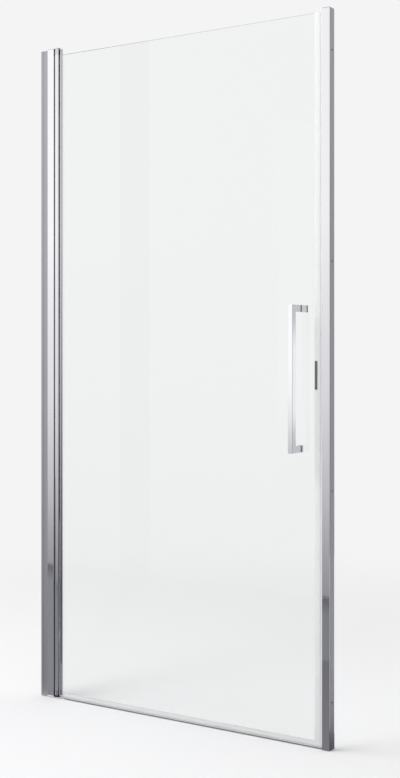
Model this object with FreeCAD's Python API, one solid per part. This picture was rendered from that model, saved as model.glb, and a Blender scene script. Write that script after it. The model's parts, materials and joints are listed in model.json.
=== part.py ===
import FreeCAD, Part
import math
import os

# Pivot shower door for a niche, in millimetres.
# Seen from outside, from the room: +X runs from the hinge side to the closing side, +Y into the
# shower, +Z up. The origin is on the tray under the middle of the opening, in the glass's mid plane.

# The opening and the heights of what stands in it
opening_width = 972.0
hinge_side_height = 1946.0
hinge_channel_drop = 0.3
strike_side_drop = 13.0
glass_above_column = 0.7
glass_above_foot = 0.7

# Glass
glass_thickness = 6.0
glass_arris = 0.4
glass_corner_radius = 3.0

# Channels screwed to the two walls
channel_depth = 24.0
channel_web = 2.0
channel_wall = 1.6
hinge_channel_reach = 40.0
strike_channel_reach = 18.0
flute_width = 3.6
flute_depth = 0.7
flute_from_wall = 10.0
wall_hole_radius = 3.0
outer_wall_hole_spacing = 1700.0
inner_wall_hole_spacing = 600.0
channel_cap_thickness = 1.5
channel_cap_plug = 10.0
cap_plug_wall = 2.0

# Bright posts that slip over the channels
slide_clearance = 0.2
post_wall = 1.8
post_corner_radius = 1.2
hinge_post_standoff = 26.2
hinge_post_width = 23.2
strike_post_width = 22.3
strike_post_standoff = 0.3
strike_cap_thickness = 1.5

# Screws that clamp the posts to the channels, put in from the shower side
clamp_screw_radius = 1.75
clamp_head_radius = 3.2
clamp_head_height = 1.6
clamp_screw_spacing = 775.0
clamp_screw_count = 3
clamp_screw_inset = 7.0
clamp_screw_grip = 4.0
screw_cap_radius = 5.0
screw_cap_height = 3.0
screw_cap_wall = 0.8
screw_cap_edge_radius = 1.0
drive_socket_radius = 1.2
drive_socket_depth = 1.0

# Brackets that carry the two pivot pins
bracket_thickness = 3.0
bracket_screw_radius = 1.9
bracket_screw_length = 22.0
bracket_head_radius = 3.6
bracket_head_height = 1.9
port_wall = 1.3
port_spacing = 12.0
port_bite = 0.6
thread_clearance = 0.05
screw_end_space = 1.0

# Pivot pins and bushes
pin_radius = 3.0
pin_seat_clearance = 0.02
running_clearance = 0.05
pin_end_space = 1.0
bush_wall = 1.6
bush_flange_overhang = 0.9
top_flange_thickness = 0.8
foot_flange_thickness = 5.0
foot_flange_radius = 6.9
bush_body_length = 13.0

# Round pivot column with the lip that covers the glass's edge
hinge_gap = 1.35
column_radius = 8.8
pivot_forward = 5.6
turning_gap = 0.3
lip_reach = 16.95
lip_edge_thickness = 1.6
lip_root_thickness = 3.1
pocket_floor_reach = 6.35
web_past_pivot = 3.2
strip_thickness = 2.6
strip_past_pivot = 2.2
strip_behind_lip = 5.2
strip_slant = 2.4
column_bore_radius = 3.5
column_cap_height = 17.4
foot_cap_height = 16.0
spigot_length = 14.0
spigot_clearance = 0.05
gasket_thickness = 0.6
strip_screw_radius = 1.5
strip_screw_length = 7.0
strip_head_radius = 2.8
strip_head_height = 1.5
strip_screw_count = 7
strip_screw_end = 90.0
cap_screw_radius = 1.25
cap_screw_length = 24.0
cap_head_radius = 2.1
cap_head_height = 1.6
cap_head_sink = 1.5
screw_wall = 0.45
cap_screw_back = 1.4

# Lip seal in the gap between the post and the column
gap_seal_base_width = 4.0
gap_seal_base_depth = 0.9
gap_seal_lip_width = 1.6

# Threshold bar on the tray
threshold_height = 4.0
threshold_front = 10.0
threshold_back = 6.0
threshold_chamfer = 1.5
threshold_end_gap = 0.6
foot_notch_clearance = 0.2

# Drip seal under the glass
seal_clip_wall = 0.9
seal_clip_height = 6.5
seal_clearance = 0.05
seal_end_gap = 1.0
drip_lip_reach = 5.0
drip_lip_drop = 3.0
drip_lip_wall = 0.8
threshold_gap = 0.3

# Magnetic seals on the closing side
edge_clip_reach = 9.0
magnet_gap = 0.5
magnet_width = 4.8
magnet_depth = 6.2
magnet_clearance = 0.1
carrier_wall = 0.8
groove_hook_thickness = 1.0
groove_depth = 2.0
groove_opening = 6.4
groove_inner_width = 9.2
groove_outer_width = 11.6
groove_clearance = 0.1
groove_neck_clearance = 0.2

# Plain dark plate on the closing edge
edge_plate_width = 7.0
edge_plate_height = 75.0
edge_plate_thickness = 1.2
edge_plate_middle = 975.0
edge_plate_corner = 0.6

# Handle: a square bow outside, a knob and a rose inside
handle_from_edge = 57.1
handle_width = 14.0
handle_section = 18.6
handle_standoff = 46.3
handle_bottom = 770.5
handle_length = 390.0
handle_edge_radius = 0.8
handle_washer_thickness = 1.0
stud_radius = 3.0
stud_in_bow = 15.0
stud_in_knob = 18.0
stud_in_rose = 5.0
glass_hole_radius = 6.0
sleeve_clearance = 0.1
knob_length = 28.0
knob_cap_thickness = 7.0
knob_cap_spigot_radius = 4.0
knob_cap_spigot_length = 5.0
rose_thickness = 9.5
soft_edge_radius = 0.6

# How far a cutting shape runs past what it cuts, and how close counts as the same place
over_cut = 1.0
same_place = 0.01

# Places worked out from the sizes above
hinge_wall_x = -opening_width / 2
strike_wall_x = opening_width / 2
post_depth = channel_depth + 2 * (slide_clearance + post_wall)
hinge_post_left = hinge_wall_x + hinge_post_standoff
hinge_post_face = hinge_post_left + hinge_post_width
post_bottom = bracket_thickness
post_top = hinge_side_height - bracket_thickness
hinge_channel_top = post_top - hinge_channel_drop
strike_side_top = hinge_side_height - strike_side_drop
post_rear = post_depth / 2
hinge_clamp_x = hinge_wall_x + hinge_channel_reach - clamp_screw_inset
strike_clamp_x = strike_wall_x - strike_channel_reach + clamp_screw_inset
port_hole_radius = bracket_screw_radius + thread_clearance
port_radius = port_hole_radius + port_wall
pivot_x = hinge_post_face + hinge_gap + column_radius
pivot_y = -pivot_forward
nose_radius = post_rear - pivot_forward
pocket_half = glass_thickness / 2 + gasket_thickness
bush_radius = pin_radius + running_clearance + bush_wall
cap_head_room = cap_head_radius + thread_clearance
pocket_floor_x = pivot_x + pocket_floor_reach
column_screw_x = pocket_floor_x - screw_wall - cap_head_room
lip_edge_x = pivot_x + lip_reach
strip_left = pivot_x - strip_past_pivot
strip_right = lip_edge_x - strip_behind_lip
foot_bottom = bracket_thickness + turning_gap
foot_cap_bottom = foot_bottom + foot_flange_thickness
column_bottom = foot_cap_bottom + foot_cap_height
column_cap_top = post_top - turning_gap
column_top = column_cap_top - column_cap_height
top_flange_seat = column_cap_top - top_flange_thickness
top_bush_bottom = top_flange_seat - bush_body_length
foot_bush_top = foot_cap_bottom + bush_body_length
cap_head_seat_top = column_cap_top - cap_head_sink - cap_head_height
cap_head_seat_foot = foot_cap_bottom + cap_head_sink + cap_head_height
glass_bottom = foot_cap_bottom + glass_above_foot
glass_top = column_top + glass_above_column
glass_left = pocket_floor_x + gasket_thickness
strike_face = strike_wall_x - strike_post_standoff - strike_post_width
strike_rail_left = strike_face - groove_hook_thickness - groove_depth
strike_carrier_bottom = threshold_height + slide_clearance
strike_carrier_right = strike_rail_left - groove_clearance
chamber_width = magnet_width + 2 * (magnet_clearance + carrier_wall)
strike_carrier_left = strike_carrier_right - chamber_width
door_carrier_right = strike_carrier_left - magnet_gap
door_carrier_left = door_carrier_right - chamber_width
glass_right = door_carrier_left - seal_clip_wall - seal_clearance
seal_left = lip_edge_x + seal_end_gap
seal_top = glass_bottom + seal_clip_height
handle_x = glass_right - handle_from_edge
glass_front = -glass_thickness / 2
glass_back = glass_thickness / 2
bow_back = glass_front - handle_washer_thickness
bow_front = glass_front - handle_standoff
handle_top = handle_bottom + handle_length
lower_stud_z = handle_bottom + handle_section / 2
upper_stud_z = handle_top - handle_section / 2
inner_face = glass_back + handle_washer_thickness
clip_half = glass_thickness / 2 + seal_clearance + seal_clip_wall


def block(x0, x1, y0, y1, z0, z1):
    """A box between two corners."""
    return Part.makeBox(x1 - x0, y1 - y0, z1 - z0, FreeCAD.Vector(x0, y0, z0))


def upright(x, y, z0, z1, radius):
    """A round bar along Z."""
    return Part.makeCylinder(radius, z1 - z0, FreeCAD.Vector(x, y, z0))


def inward(x, z, y0, y1, radius):
    """A round bar along Y."""
    return Part.makeCylinder(radius, y1 - y0, FreeCAD.Vector(x, y0, z), FreeCAD.Vector(0, 1, 0))


def crosswise(y, z, x0, x1, radius):
    """A round bar along X."""
    return Part.makeCylinder(radius, x1 - x0, FreeCAD.Vector(x0, y, z), FreeCAD.Vector(1, 0, 0))


def upright_prism(outline, z0, z1):
    """An outline in plan, given as X and Y pairs, pulled up from z0 to z1."""
    corners = [FreeCAD.Vector(x, y, z0) for x, y in outline]
    face = Part.Face(Part.makePolygon(corners + corners[:1]))
    return face.extrude(FreeCAD.Vector(0, 0, z1 - z0))


def crosswise_prism(outline, x0, x1):
    """An outline seen from the side, given as Y and Z pairs, pulled along X from x0 to x1."""
    corners = [FreeCAD.Vector(x0, y, z) for y, z in outline]
    face = Part.Face(Part.makePolygon(corners + corners[:1]))
    return face.extrude(FreeCAD.Vector(x1 - x0, 0, 0))


def joined(shapes):
    """One solid from pieces that touch or overlap."""
    return shapes[0].fuse(shapes[1:]).removeSplitter()


def less(shape, cuts):
    """The shape with every cut taken away."""
    return shape.cut(Part.makeCompound(cuts))


def round_uprights(shape, radius, corners):
    """Rounds the upright edges that stand at the given X and Y pairs."""
    picked = []
    for edge in shape.Edges:
        ends = [vertex.Point for vertex in edge.Vertexes]
        if len(ends) < 2 or abs(ends[0].z - ends[1].z) < radius:
            continue
        for x, y in corners:
            if all(math.hypot(end.x - x, end.y - y) < same_place for end in ends):
                picked.append(edge)
    return shape.makeFillet(radius, picked)


def spread(middle, spacing, count):
    """Evenly spaced places about a middle."""
    return [middle + (i - (count - 1) / 2) * spacing for i in range(count)]


def wall_hole_heights():
    """Heights of the wall screw holes, the same on both sides."""
    middle = hinge_side_height / 2
    heights = spread(middle, outer_wall_hole_spacing, 2)
    return heights + spread(middle, inner_wall_hole_spacing, 2)


def clamp_screw_heights():
    return spread(hinge_side_height / 2, clamp_screw_spacing, clamp_screw_count)


def channel_body(wall_x, way, reach, top):
    """A channel with its web on the wall, open in the direction way, +1 or -1 along X."""
    half = channel_depth / 2
    inside = half - channel_wall
    low, high = sorted((wall_x, wall_x + way * reach))
    cut_low, cut_high = sorted((wall_x + way * channel_web, wall_x + way * (reach + over_cut)))
    shape = block(low, high, -half, half, 0, top)
    hole_low, hole_high = sorted((wall_x - way * over_cut, wall_x + way * (channel_web + over_cut)))
    cuts = [block(cut_low, cut_high, -inside, inside, -over_cut, top + over_cut)]
    for z in wall_hole_heights():
        cuts.append(crosswise(0, z, hole_low, hole_high, wall_hole_radius))
    return less(shape, cuts)


def clamp_holes(x, rear_start):
    """Threaded holes in the channel's rear flange."""
    radius = clamp_screw_radius + thread_clearance
    low, high = rear_start - over_cut, channel_depth / 2 + over_cut
    return [inward(x, z, low, high, radius) for z in clamp_screw_heights()]


def make_hinge_wall_channel():
    top = hinge_channel_top - channel_cap_thickness
    shape = channel_body(hinge_wall_x, 1, hinge_channel_reach, top)
    half = channel_depth / 2
    flute_x = hinge_wall_x + flute_from_wall
    cuts = []
    left, right = flute_x - flute_width / 2, flute_x + flute_width / 2
    for low, high in ((-half - over_cut, -half + flute_depth), (half - flute_depth, half + over_cut)):
        cuts.append(block(left, right, low, high, -over_cut, top + over_cut))
    cuts += clamp_holes(hinge_clamp_x, half - channel_wall)
    notch_left = hinge_post_left - foot_notch_clearance
    notch_top = bracket_thickness + foot_notch_clearance
    deep = half + over_cut
    cuts.append(block(notch_left, hinge_post_face, -deep, deep, -over_cut, notch_top))
    return less(shape, cuts)


def make_hinge_channel_cap():
    top = hinge_channel_top
    half = channel_depth / 2
    seat = top - channel_cap_thickness
    plate = block(hinge_wall_x, hinge_post_left - slide_clearance, -half, half, seat, top)
    inner = half - channel_wall - slide_clearance
    low = hinge_wall_x + channel_web + slide_clearance
    high = hinge_post_left - slide_clearance
    plug = block(low, high, -inner, inner, seat - channel_cap_plug, seat)
    hollow = block(
        low + cap_plug_wall,
        high + over_cut,
        -inner + cap_plug_wall,
        inner - cap_plug_wall,
        seat - channel_cap_plug - over_cut,
        seat,
    )
    return joined([plate, plug.cut(hollow)])


def post_body(left, right, web_x, bottom, top):
    """A post in plan: front and rear walls with a web on its face towards the glass."""
    half = post_depth / 2
    inside = half - post_wall
    shape = block(left, right, -half, half, bottom, top)
    web_left, web_right = sorted((web_x, web_x + math.copysign(post_wall, (left + right) / 2 - web_x)))
    open_low = left - over_cut if web_x == right else web_right
    open_high = web_left if web_x == right else right + over_cut
    hollow = block(open_low, open_high, -inside, inside, bottom - over_cut, top + over_cut)
    shape = shape.cut(hollow)
    return round_uprights(shape, post_corner_radius, [(web_x, -half), (web_x, half)])


def port_places():
    """Plan places of the two screw ports inside the hinge post."""
    x = hinge_post_face - post_wall - port_radius + port_bite
    return [(x, y) for y in spread(0, port_spacing, 2)]


def make_hinge_post():
    shape = post_body(hinge_post_left, hinge_post_face, hinge_post_face, post_bottom, post_top)
    bosses = [upright(x, y, post_bottom, post_top, port_radius) for x, y in port_places()]
    shape = joined([shape] + bosses)
    z0, z1 = post_bottom - over_cut, post_top + over_cut
    cuts = [upright(x, y, z0, z1, port_hole_radius) for x, y in port_places()]
    seal_base = gap_seal_base_width / 2
    groove_left = hinge_post_face - gap_seal_base_depth
    low, high = pivot_y - seal_base, pivot_y + seal_base
    cuts.append(block(groove_left, hinge_post_face + over_cut, low, high, z0, z1))
    hole_radius = clamp_screw_radius + slide_clearance
    inside = post_rear - post_wall
    for z in clamp_screw_heights():
        cuts.append(inward(hinge_clamp_x, z, inside - over_cut, post_rear + over_cut, hole_radius))
    return less(shape, cuts)


def clamp_screw(x, z):
    """A pan-head screw from the post's rear face into the channel."""
    top = post_rear + clamp_head_height
    shank = inward(x, z, post_rear - clamp_screw_grip, post_rear, clamp_screw_radius)
    head = inward(x, z, post_rear, top, clamp_head_radius)
    socket = inward(x, z, top - drive_socket_depth, top + over_cut, drive_socket_radius)
    return joined([shank, head]).cut(socket)


def screw_cap(x, z):
    """A round cap over a clamp screw's head."""
    top = post_rear + screw_cap_height
    shell = inward(x, z, post_rear, top, screw_cap_radius)
    outer_rim = [edge for edge in shell.Edges if edge.BoundBox.YMin > top - same_place]
    shell = shell.makeFillet(screw_cap_edge_radius, outer_rim[:1])
    inside = screw_cap_radius - screw_cap_wall
    return shell.cut(inward(x, z, post_rear - over_cut, top - screw_cap_wall, inside))


def group(shapes):
    return Part.makeCompound(shapes)


def make_post_clamp_screws():
    return group([clamp_screw(hinge_clamp_x, z) for z in clamp_screw_heights()])


def make_post_screw_caps():
    return group([screw_cap(hinge_clamp_x, z) for z in clamp_screw_heights()])


def bracket_plate(z0, z1, head_z, head_way):
    """A plate over the post's end with a nose that reaches the pivot axis."""
    half = post_depth / 2
    plate = block(hinge_post_left, hinge_post_face, -half, half, z0, z1)
    plate = round_uprights(plate, post_corner_radius, [(hinge_post_face, -half), (hinge_post_face, half)])
    neck = block(
        hinge_post_face - post_corner_radius,
        pivot_x,
        pivot_y - nose_radius,
        pivot_y + nose_radius,
        z0,
        z1,
    )
    nose = upright(pivot_x, pivot_y, z0, z1, nose_radius)
    low, high = z0 - over_cut, z1 + over_cut
    cuts = [upright(pivot_x, pivot_y, low, high, pin_radius + pin_seat_clearance)]
    shank = bracket_screw_radius + thread_clearance
    for x, y in port_places():
        cuts.append(upright(x, y, low, high, shank))
        start = FreeCAD.Vector(x, y, head_z)
        head = bracket_head_radius + thread_clearance
        way = FreeCAD.Vector(0, 0, -head_way)
        cuts.append(Part.makeCone(head, shank, bracket_head_height, start, way))
    return less(joined([plate, neck, nose]), cuts)


def make_top_pivot_bracket():
    return bracket_plate(post_top, hinge_side_height, hinge_side_height, 1)


def make_bottom_pivot_bracket():
    return bracket_plate(0, bracket_thickness, 0, -1)


def bracket_screw(x, y, head_z, way):
    """A countersunk screw whose head lies flush; way is +1 at the top and -1 at the foot."""
    axis = FreeCAD.Vector(0, 0, -way)
    start = FreeCAD.Vector(x, y, head_z)
    head = Part.makeCone(bracket_head_radius, bracket_screw_radius, bracket_head_height, start, axis)
    shank = Part.makeCylinder(bracket_screw_radius, bracket_screw_length, start, axis)
    socket = Part.makeCylinder(drive_socket_radius, drive_socket_depth, start, axis)
    return joined([head, shank]).cut(socket)


def make_bracket_screws():
    screws = [bracket_screw(x, y, hinge_side_height, 1) for x, y in port_places()]
    screws += [bracket_screw(x, y, 0, -1) for x, y in port_places()]
    return group(screws)


def make_top_pivot_pin():
    return upright(pivot_x, pivot_y, top_bush_bottom + pin_end_space, hinge_side_height, pin_radius)


def make_bottom_pivot_pin():
    return upright(pivot_x, pivot_y, 0, foot_bush_top - pin_end_space, pin_radius)


def make_hinge_gap_seal():
    base_half = gap_seal_base_width / 2
    lip_half = gap_seal_lip_width / 2
    lip_tip = hinge_post_face + hinge_gap - turning_gap
    left = hinge_post_face - gap_seal_base_depth
    face = hinge_post_face
    base = block(left, face, pivot_y - base_half, pivot_y + base_half, post_bottom, post_top)
    lip = block(face, lip_tip, pivot_y - lip_half, pivot_y + lip_half, post_bottom, post_top)
    return joined([base, lip])


def column_plan(z0, z1):
    """The column's full outline: round part, web, and the lip that thins towards its free edge."""
    root_y = -pocket_half - lip_root_thickness
    edge_y = -pocket_half - lip_edge_thickness
    round_part = upright(pivot_x, pivot_y, z0, z1, column_radius)
    lip = upright_prism(
        [
            (pivot_x, root_y),
            (lip_edge_x, edge_y),
            (lip_edge_x, -pocket_half),
            (pivot_x, -pocket_half),
        ],
        z0,
        z1,
    )
    web_left = pivot_x - web_past_pivot
    web = block(web_left, pocket_floor_x, -pocket_half, pocket_half, z0, z1)
    pocket_end = lip_edge_x + over_cut
    low, high = z0 - over_cut, z1 + over_cut
    pocket = block(pocket_floor_x, pocket_end, -pocket_half, pocket_half, low, high)
    return joined([round_part, lip, web]).cut(pocket)


def strip_screw_heights():
    span = column_top - column_bottom - 2 * strip_screw_end
    middle = (column_top + column_bottom) / 2
    return spread(middle, span / (strip_screw_count - 1), strip_screw_count)


def make_pivot_column():
    shape = column_plan(column_bottom, column_top)
    low, high = column_bottom - over_cut, column_top + over_cut
    cuts = [upright(pivot_x, pivot_y, low, high, column_bore_radius)]
    port = cap_screw_radius + thread_clearance
    cuts.append(upright(column_screw_x, cap_screw_back, low, column_bottom + cap_screw_length, port))
    cuts.append(upright(column_screw_x, cap_screw_back, column_top - cap_screw_length, high, port))
    start = pocket_half + strip_thickness - strip_screw_length - screw_end_space
    hole = strip_screw_radius + thread_clearance
    for z in strip_screw_heights():
        cuts.append(inward(column_screw_x, z, start, pocket_half + over_cut, hole))
    return less(shape, cuts)


def strip_plan(z0, z1):
    """The strip's outline in plan, slanted at its free edge so that the lip hides it from outside."""
    back = pocket_half + strip_thickness
    outline = [
        (strip_left, pocket_half),
        (strip_right, pocket_half),
        (strip_right - strip_slant, back),
        (strip_left, back),
    ]
    corners = [(strip_right - strip_slant, back), (strip_left, back)]
    return round_uprights(upright_prism(outline, z0, z1), soft_edge_radius, corners)


def make_glass_clamp_strip():
    back = pocket_half + strip_thickness
    shape = strip_plan(column_bottom, column_top)
    cuts = []
    for z in strip_screw_heights():
        shank = strip_screw_radius + thread_clearance
        head = strip_head_radius + thread_clearance
        cuts.append(inward(column_screw_x, z, pocket_half - over_cut, back + over_cut, shank))
        start = FreeCAD.Vector(column_screw_x, back, z)
        cuts.append(Part.makeCone(head, shank, strip_head_height, start, FreeCAD.Vector(0, -1, 0)))
    return less(shape, cuts)


def make_clamp_strip_screws():
    back = pocket_half + strip_thickness
    screws = []
    for z in strip_screw_heights():
        start = FreeCAD.Vector(column_screw_x, back, z)
        axis = FreeCAD.Vector(0, -1, 0)
        head = Part.makeCone(strip_head_radius, strip_screw_radius, strip_head_height, start, axis)
        shank = Part.makeCylinder(strip_screw_radius, strip_screw_length, start, axis)
        socket = Part.makeCylinder(drive_socket_radius, drive_socket_depth, start, axis)
        screws.append(joined([head, shank]).cut(socket))
    return group(screws)


def make_glass_gasket():
    half = pocket_half
    inner = glass_thickness / 2
    sleeve = block(pocket_floor_x, lip_edge_x, -half, half, column_bottom, column_top)
    low, high = column_bottom - over_cut, column_top + over_cut
    inside = block(glass_left, lip_edge_x + over_cut, -inner, inner, low, high)
    open_back = block(strip_right, lip_edge_x + over_cut, 0, half + over_cut, low, high)
    return less(sleeve, [inside, open_back])


def column_cap(z0, z1, spigot_z0, spigot_z1, bush_z0, bush_z1):
    """An end block that closes the column and the strip, with a spigot and a seat for the bush."""
    shape = column_plan(z0, z1)
    cheek = strip_plan(z0, z1)
    spigot = upright(pivot_x, pivot_y, spigot_z0, spigot_z1, column_bore_radius - spigot_clearance)
    bridge = block(pocket_floor_x, strip_right, -pocket_half, pocket_half, z0, z1)
    shape = joined([shape, cheek, bridge, spigot])
    seat = upright(pivot_x, pivot_y, bush_z0, bush_z1, bush_radius + spigot_clearance)
    slot_low = glass_bottom - turning_gap
    slot_high = glass_top + turning_gap
    slot_right = lip_edge_x + over_cut
    slot = block(pocket_floor_x, slot_right, -pocket_half, pocket_half, slot_low, slot_high)
    return less(shape, [seat, slot])


def make_top_column_cap():
    shape = column_cap(
        column_top,
        column_cap_top,
        column_top - spigot_length,
        column_top,
        top_bush_bottom,
        column_cap_top + over_cut,
    )
    radius = bush_radius + bush_flange_overhang + spigot_clearance
    cuts = [upright(pivot_x, pivot_y, top_flange_seat, column_cap_top + over_cut, radius)]
    cuts += cap_screw_room(column_top, column_cap_top, 1)
    return less(shape, cuts)


def make_bottom_column_cap():
    shape = column_cap(
        foot_cap_bottom,
        column_bottom,
        column_bottom,
        column_bottom + spigot_length,
        foot_cap_bottom - over_cut,
        foot_bush_top,
    )
    return less(shape, cap_screw_room(foot_cap_bottom, column_bottom, -1))


def cap_screw_room(z0, z1, way):
    """Hole and counterbore for the screw that holds an end block on the column."""
    low, high = z0 - over_cut, z1 + over_cut
    room = [upright(column_screw_x, cap_screw_back, low, high, cap_screw_radius + thread_clearance)]
    if way > 0:
        room.append(upright(column_screw_x, cap_screw_back, cap_head_seat_top, high, cap_head_room))
    else:
        room.append(upright(column_screw_x, cap_screw_back, low, cap_head_seat_foot, cap_head_room))
    return room


def cap_screw(seat_z, way):
    """A cylinder-head screw; way is +1 where its head points up."""
    axis = FreeCAD.Vector(0, 0, way)
    seat = FreeCAD.Vector(column_screw_x, cap_screw_back, seat_z)
    head = Part.makeCylinder(cap_head_radius, cap_head_height, seat, axis)
    shank = Part.makeCylinder(cap_screw_radius, cap_screw_length, seat, axis.negative())
    face = FreeCAD.Vector(column_screw_x, cap_screw_back, seat_z + way * cap_head_height)
    socket = Part.makeCylinder(drive_socket_radius, drive_socket_depth, face, axis.negative())
    return joined([head, shank]).cut(socket)


def make_column_cap_screws():
    return group([cap_screw(cap_head_seat_top, 1), cap_screw(cap_head_seat_foot, -1)])


def bush(flange_z0, flange_z1, flange_radius, body_z0, body_z1):
    """A flanged bush that turns on a pivot pin."""
    body = upright(pivot_x, pivot_y, body_z0, body_z1, bush_radius)
    flange = upright(pivot_x, pivot_y, flange_z0, flange_z1, flange_radius)
    bore_low = min(flange_z0, body_z0) - over_cut
    bore_high = max(flange_z1, body_z1) + over_cut
    bore = upright(pivot_x, pivot_y, bore_low, bore_high, pin_radius + running_clearance)
    return joined([body, flange]).cut(bore)


def make_top_pivot_bush():
    radius = bush_radius + bush_flange_overhang
    return bush(top_flange_seat, column_cap_top, radius, top_bush_bottom, top_flange_seat)


def make_bottom_pivot_bush():
    return bush(foot_bottom, foot_cap_bottom, foot_flange_radius, foot_cap_bottom, foot_bush_top)


def make_glass_panel():
    shape = block(glass_left, glass_right, glass_front, glass_back, glass_bottom, glass_top)
    corners = []
    for edge in shape.Edges:
        ends = [vertex.Point for vertex in edge.Vertexes]
        if abs(ends[0].y - ends[1].y) > glass_thickness - same_place:
            corners.append(edge)
    shape = shape.makeFillet(glass_corner_radius, corners)
    rims = [edge for edge in shape.Edges if edge.BoundBox.YLength < glass_arris]
    shape = shape.makeChamfer(glass_arris, rims)
    cuts = []
    for z in (lower_stud_z, upper_stud_z):
        cuts.append(inward(handle_x, z, glass_front - over_cut, glass_back + over_cut, glass_hole_radius))
    return less(shape, cuts)


def make_threshold_bar():
    left = pivot_x + nose_radius + threshold_end_gap
    right = strike_rail_left - threshold_end_gap
    outline = [
        (-threshold_front, 0),
        (threshold_back, 0),
        (threshold_back, threshold_height),
        (-threshold_front + threshold_chamfer, threshold_height),
        (-threshold_front, threshold_height - threshold_chamfer),
    ]
    return crosswise_prism(outline, left, right)


def make_bottom_seal():
    inner = glass_thickness / 2 + seal_clearance
    floor = glass_bottom - seal_clearance
    base = floor - seal_clip_wall
    sealing_edge = threshold_height + threshold_gap
    clip = block(seal_left, door_carrier_right, -clip_half, clip_half, base, seal_top)
    left, right = seal_left - over_cut, door_carrier_right + over_cut
    clip = clip.cut(block(left, right, -inner, inner, floor, seal_top + over_cut))
    fin = crosswise_prism(
        [
            (-clip_half, base + seal_clip_wall),
            (-clip_half, sealing_edge),
            (-clip_half + drip_lip_wall, sealing_edge),
            (-clip_half + drip_lip_wall, base + seal_clip_wall),
        ],
        seal_left,
        door_carrier_right,
    )
    drip_low = base - drip_lip_drop + seal_clip_wall
    drip = crosswise_prism(
        [
            (clip_half - drip_lip_wall, base),
            (clip_half - drip_lip_wall, base + drip_lip_wall),
            (clip_half, base + drip_lip_wall),
            (clip_half + drip_lip_reach, drip_low + drip_lip_wall),
            (clip_half + drip_lip_reach, drip_low),
            (clip_half, base),
        ],
        seal_left,
        door_carrier_right,
    )
    return joined([clip, fin, drip])


def make_edge_seal_carrier():
    inner = glass_thickness / 2 + seal_clearance
    z0 = seal_top + seal_clearance
    z1 = glass_top
    clip_left = glass_right - edge_clip_reach
    clip = block(clip_left, door_carrier_left, -clip_half, clip_half, z0, z1)
    left, right = clip_left - over_cut, glass_right + seal_clearance
    clip = clip.cut(block(left, right, -inner, inner, z0 - over_cut, z1 + over_cut))
    chamber = magnet_chamber(door_carrier_left, z0, z1)
    return joined([clip, chamber])


def magnet_chamber(left, z0, z1):
    """A square tube that holds a magnet strip."""
    half = magnet_depth / 2 + magnet_clearance
    outer = half + carrier_wall
    right = left + chamber_width
    tube = block(left, right, -outer, outer, z0, z1)
    inside_left, inside_right = left + carrier_wall, right - carrier_wall
    return tube.cut(block(inside_left, inside_right, -half, half, z0 - over_cut, z1 + over_cut))


def magnet_strip(chamber_left, z0, z1):
    left = chamber_left + carrier_wall + magnet_clearance
    half = magnet_depth / 2
    return block(left, left + magnet_width, -half, half, z0, z1)


def make_edge_magnet_strip():
    return magnet_strip(door_carrier_left, seal_top + seal_clearance, glass_top)


def make_edge_plate():
    right = glass_right - seal_clip_wall
    half = edge_plate_height / 2
    front = -clip_half - edge_plate_thickness
    z0, z1 = edge_plate_middle - half, edge_plate_middle + half
    plate = block(right - edge_plate_width, right, front, -clip_half, z0, z1)
    corners = [edge for edge in plate.Edges if edge.BoundBox.YLength > edge_plate_thickness - same_place]
    return plate.makeFillet(edge_plate_corner, corners)


def make_strike_wall_channel():
    shape = channel_body(strike_wall_x, -1, strike_channel_reach, strike_side_top - strike_cap_thickness)
    return less(shape, clamp_holes(strike_clamp_x, channel_depth / 2 - channel_wall))


def make_strike_post():
    right = strike_face + strike_post_width
    top = strike_side_top - strike_cap_thickness
    shape = post_body(strike_face, right, strike_face, 0, top)
    outer = groove_outer_width / 2
    inner = groove_inner_width / 2
    mouth = groove_opening / 2
    rail = block(strike_rail_left, strike_face, -outer, outer, 0, top)
    low, high = -over_cut, top + over_cut
    hook_right = strike_rail_left + groove_hook_thickness
    inside = block(hook_right, strike_face, -inner, inner, low, high)
    opening = block(strike_rail_left - over_cut, strike_face, -mouth, mouth, low, high)
    shape = joined([shape, rail.cut(inside).cut(opening)])
    hole_radius = clamp_screw_radius + slide_clearance
    start = post_rear - post_wall - over_cut
    cuts = []
    for z in clamp_screw_heights():
        cuts.append(inward(strike_clamp_x, z, start, post_rear + over_cut, hole_radius))
    return less(shape, cuts)


def make_strike_clamp_screws():
    return group([clamp_screw(strike_clamp_x, z) for z in clamp_screw_heights()])


def make_strike_screw_caps():
    return group([screw_cap(strike_clamp_x, z) for z in clamp_screw_heights()])


def make_strike_post_cap():
    half = post_depth / 2
    right = strike_face + strike_post_width
    seat = strike_side_top - strike_cap_thickness
    plate = block(strike_face, right, -half, half, seat, strike_side_top)
    plate = round_uprights(plate, post_corner_radius, [(strike_face, -half), (strike_face, half)])
    low = strike_face + post_wall + slide_clearance
    high = strike_wall_x - channel_web - slide_clearance
    inner = half - post_wall - channel_wall - 2 * slide_clearance
    plug = block(low, high, -inner, inner, seat - channel_cap_plug, seat)
    hollow = block(
        low + cap_plug_wall,
        high - cap_plug_wall,
        -inner + cap_plug_wall,
        inner - cap_plug_wall,
        seat - channel_cap_plug - over_cut,
        seat,
    )
    return joined([plate, plug.cut(hollow)])


def make_strike_seal_carrier():
    top = strike_side_top - strike_cap_thickness
    bottom = strike_carrier_bottom
    chamber = magnet_chamber(strike_carrier_left, bottom, top)
    neck_half = groove_opening / 2 - groove_neck_clearance
    foot_half = groove_inner_width / 2 - groove_clearance
    foot_left = strike_face - groove_depth + groove_clearance
    neck = block(strike_carrier_right, foot_left, -neck_half, neck_half, bottom, top)
    foot = block(foot_left, strike_face, -foot_half, foot_half, bottom, top)
    return joined([chamber, neck, foot])


def make_strike_magnet_strip():
    top = strike_side_top - strike_cap_thickness
    return magnet_strip(strike_carrier_left, strike_carrier_bottom, top)


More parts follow.
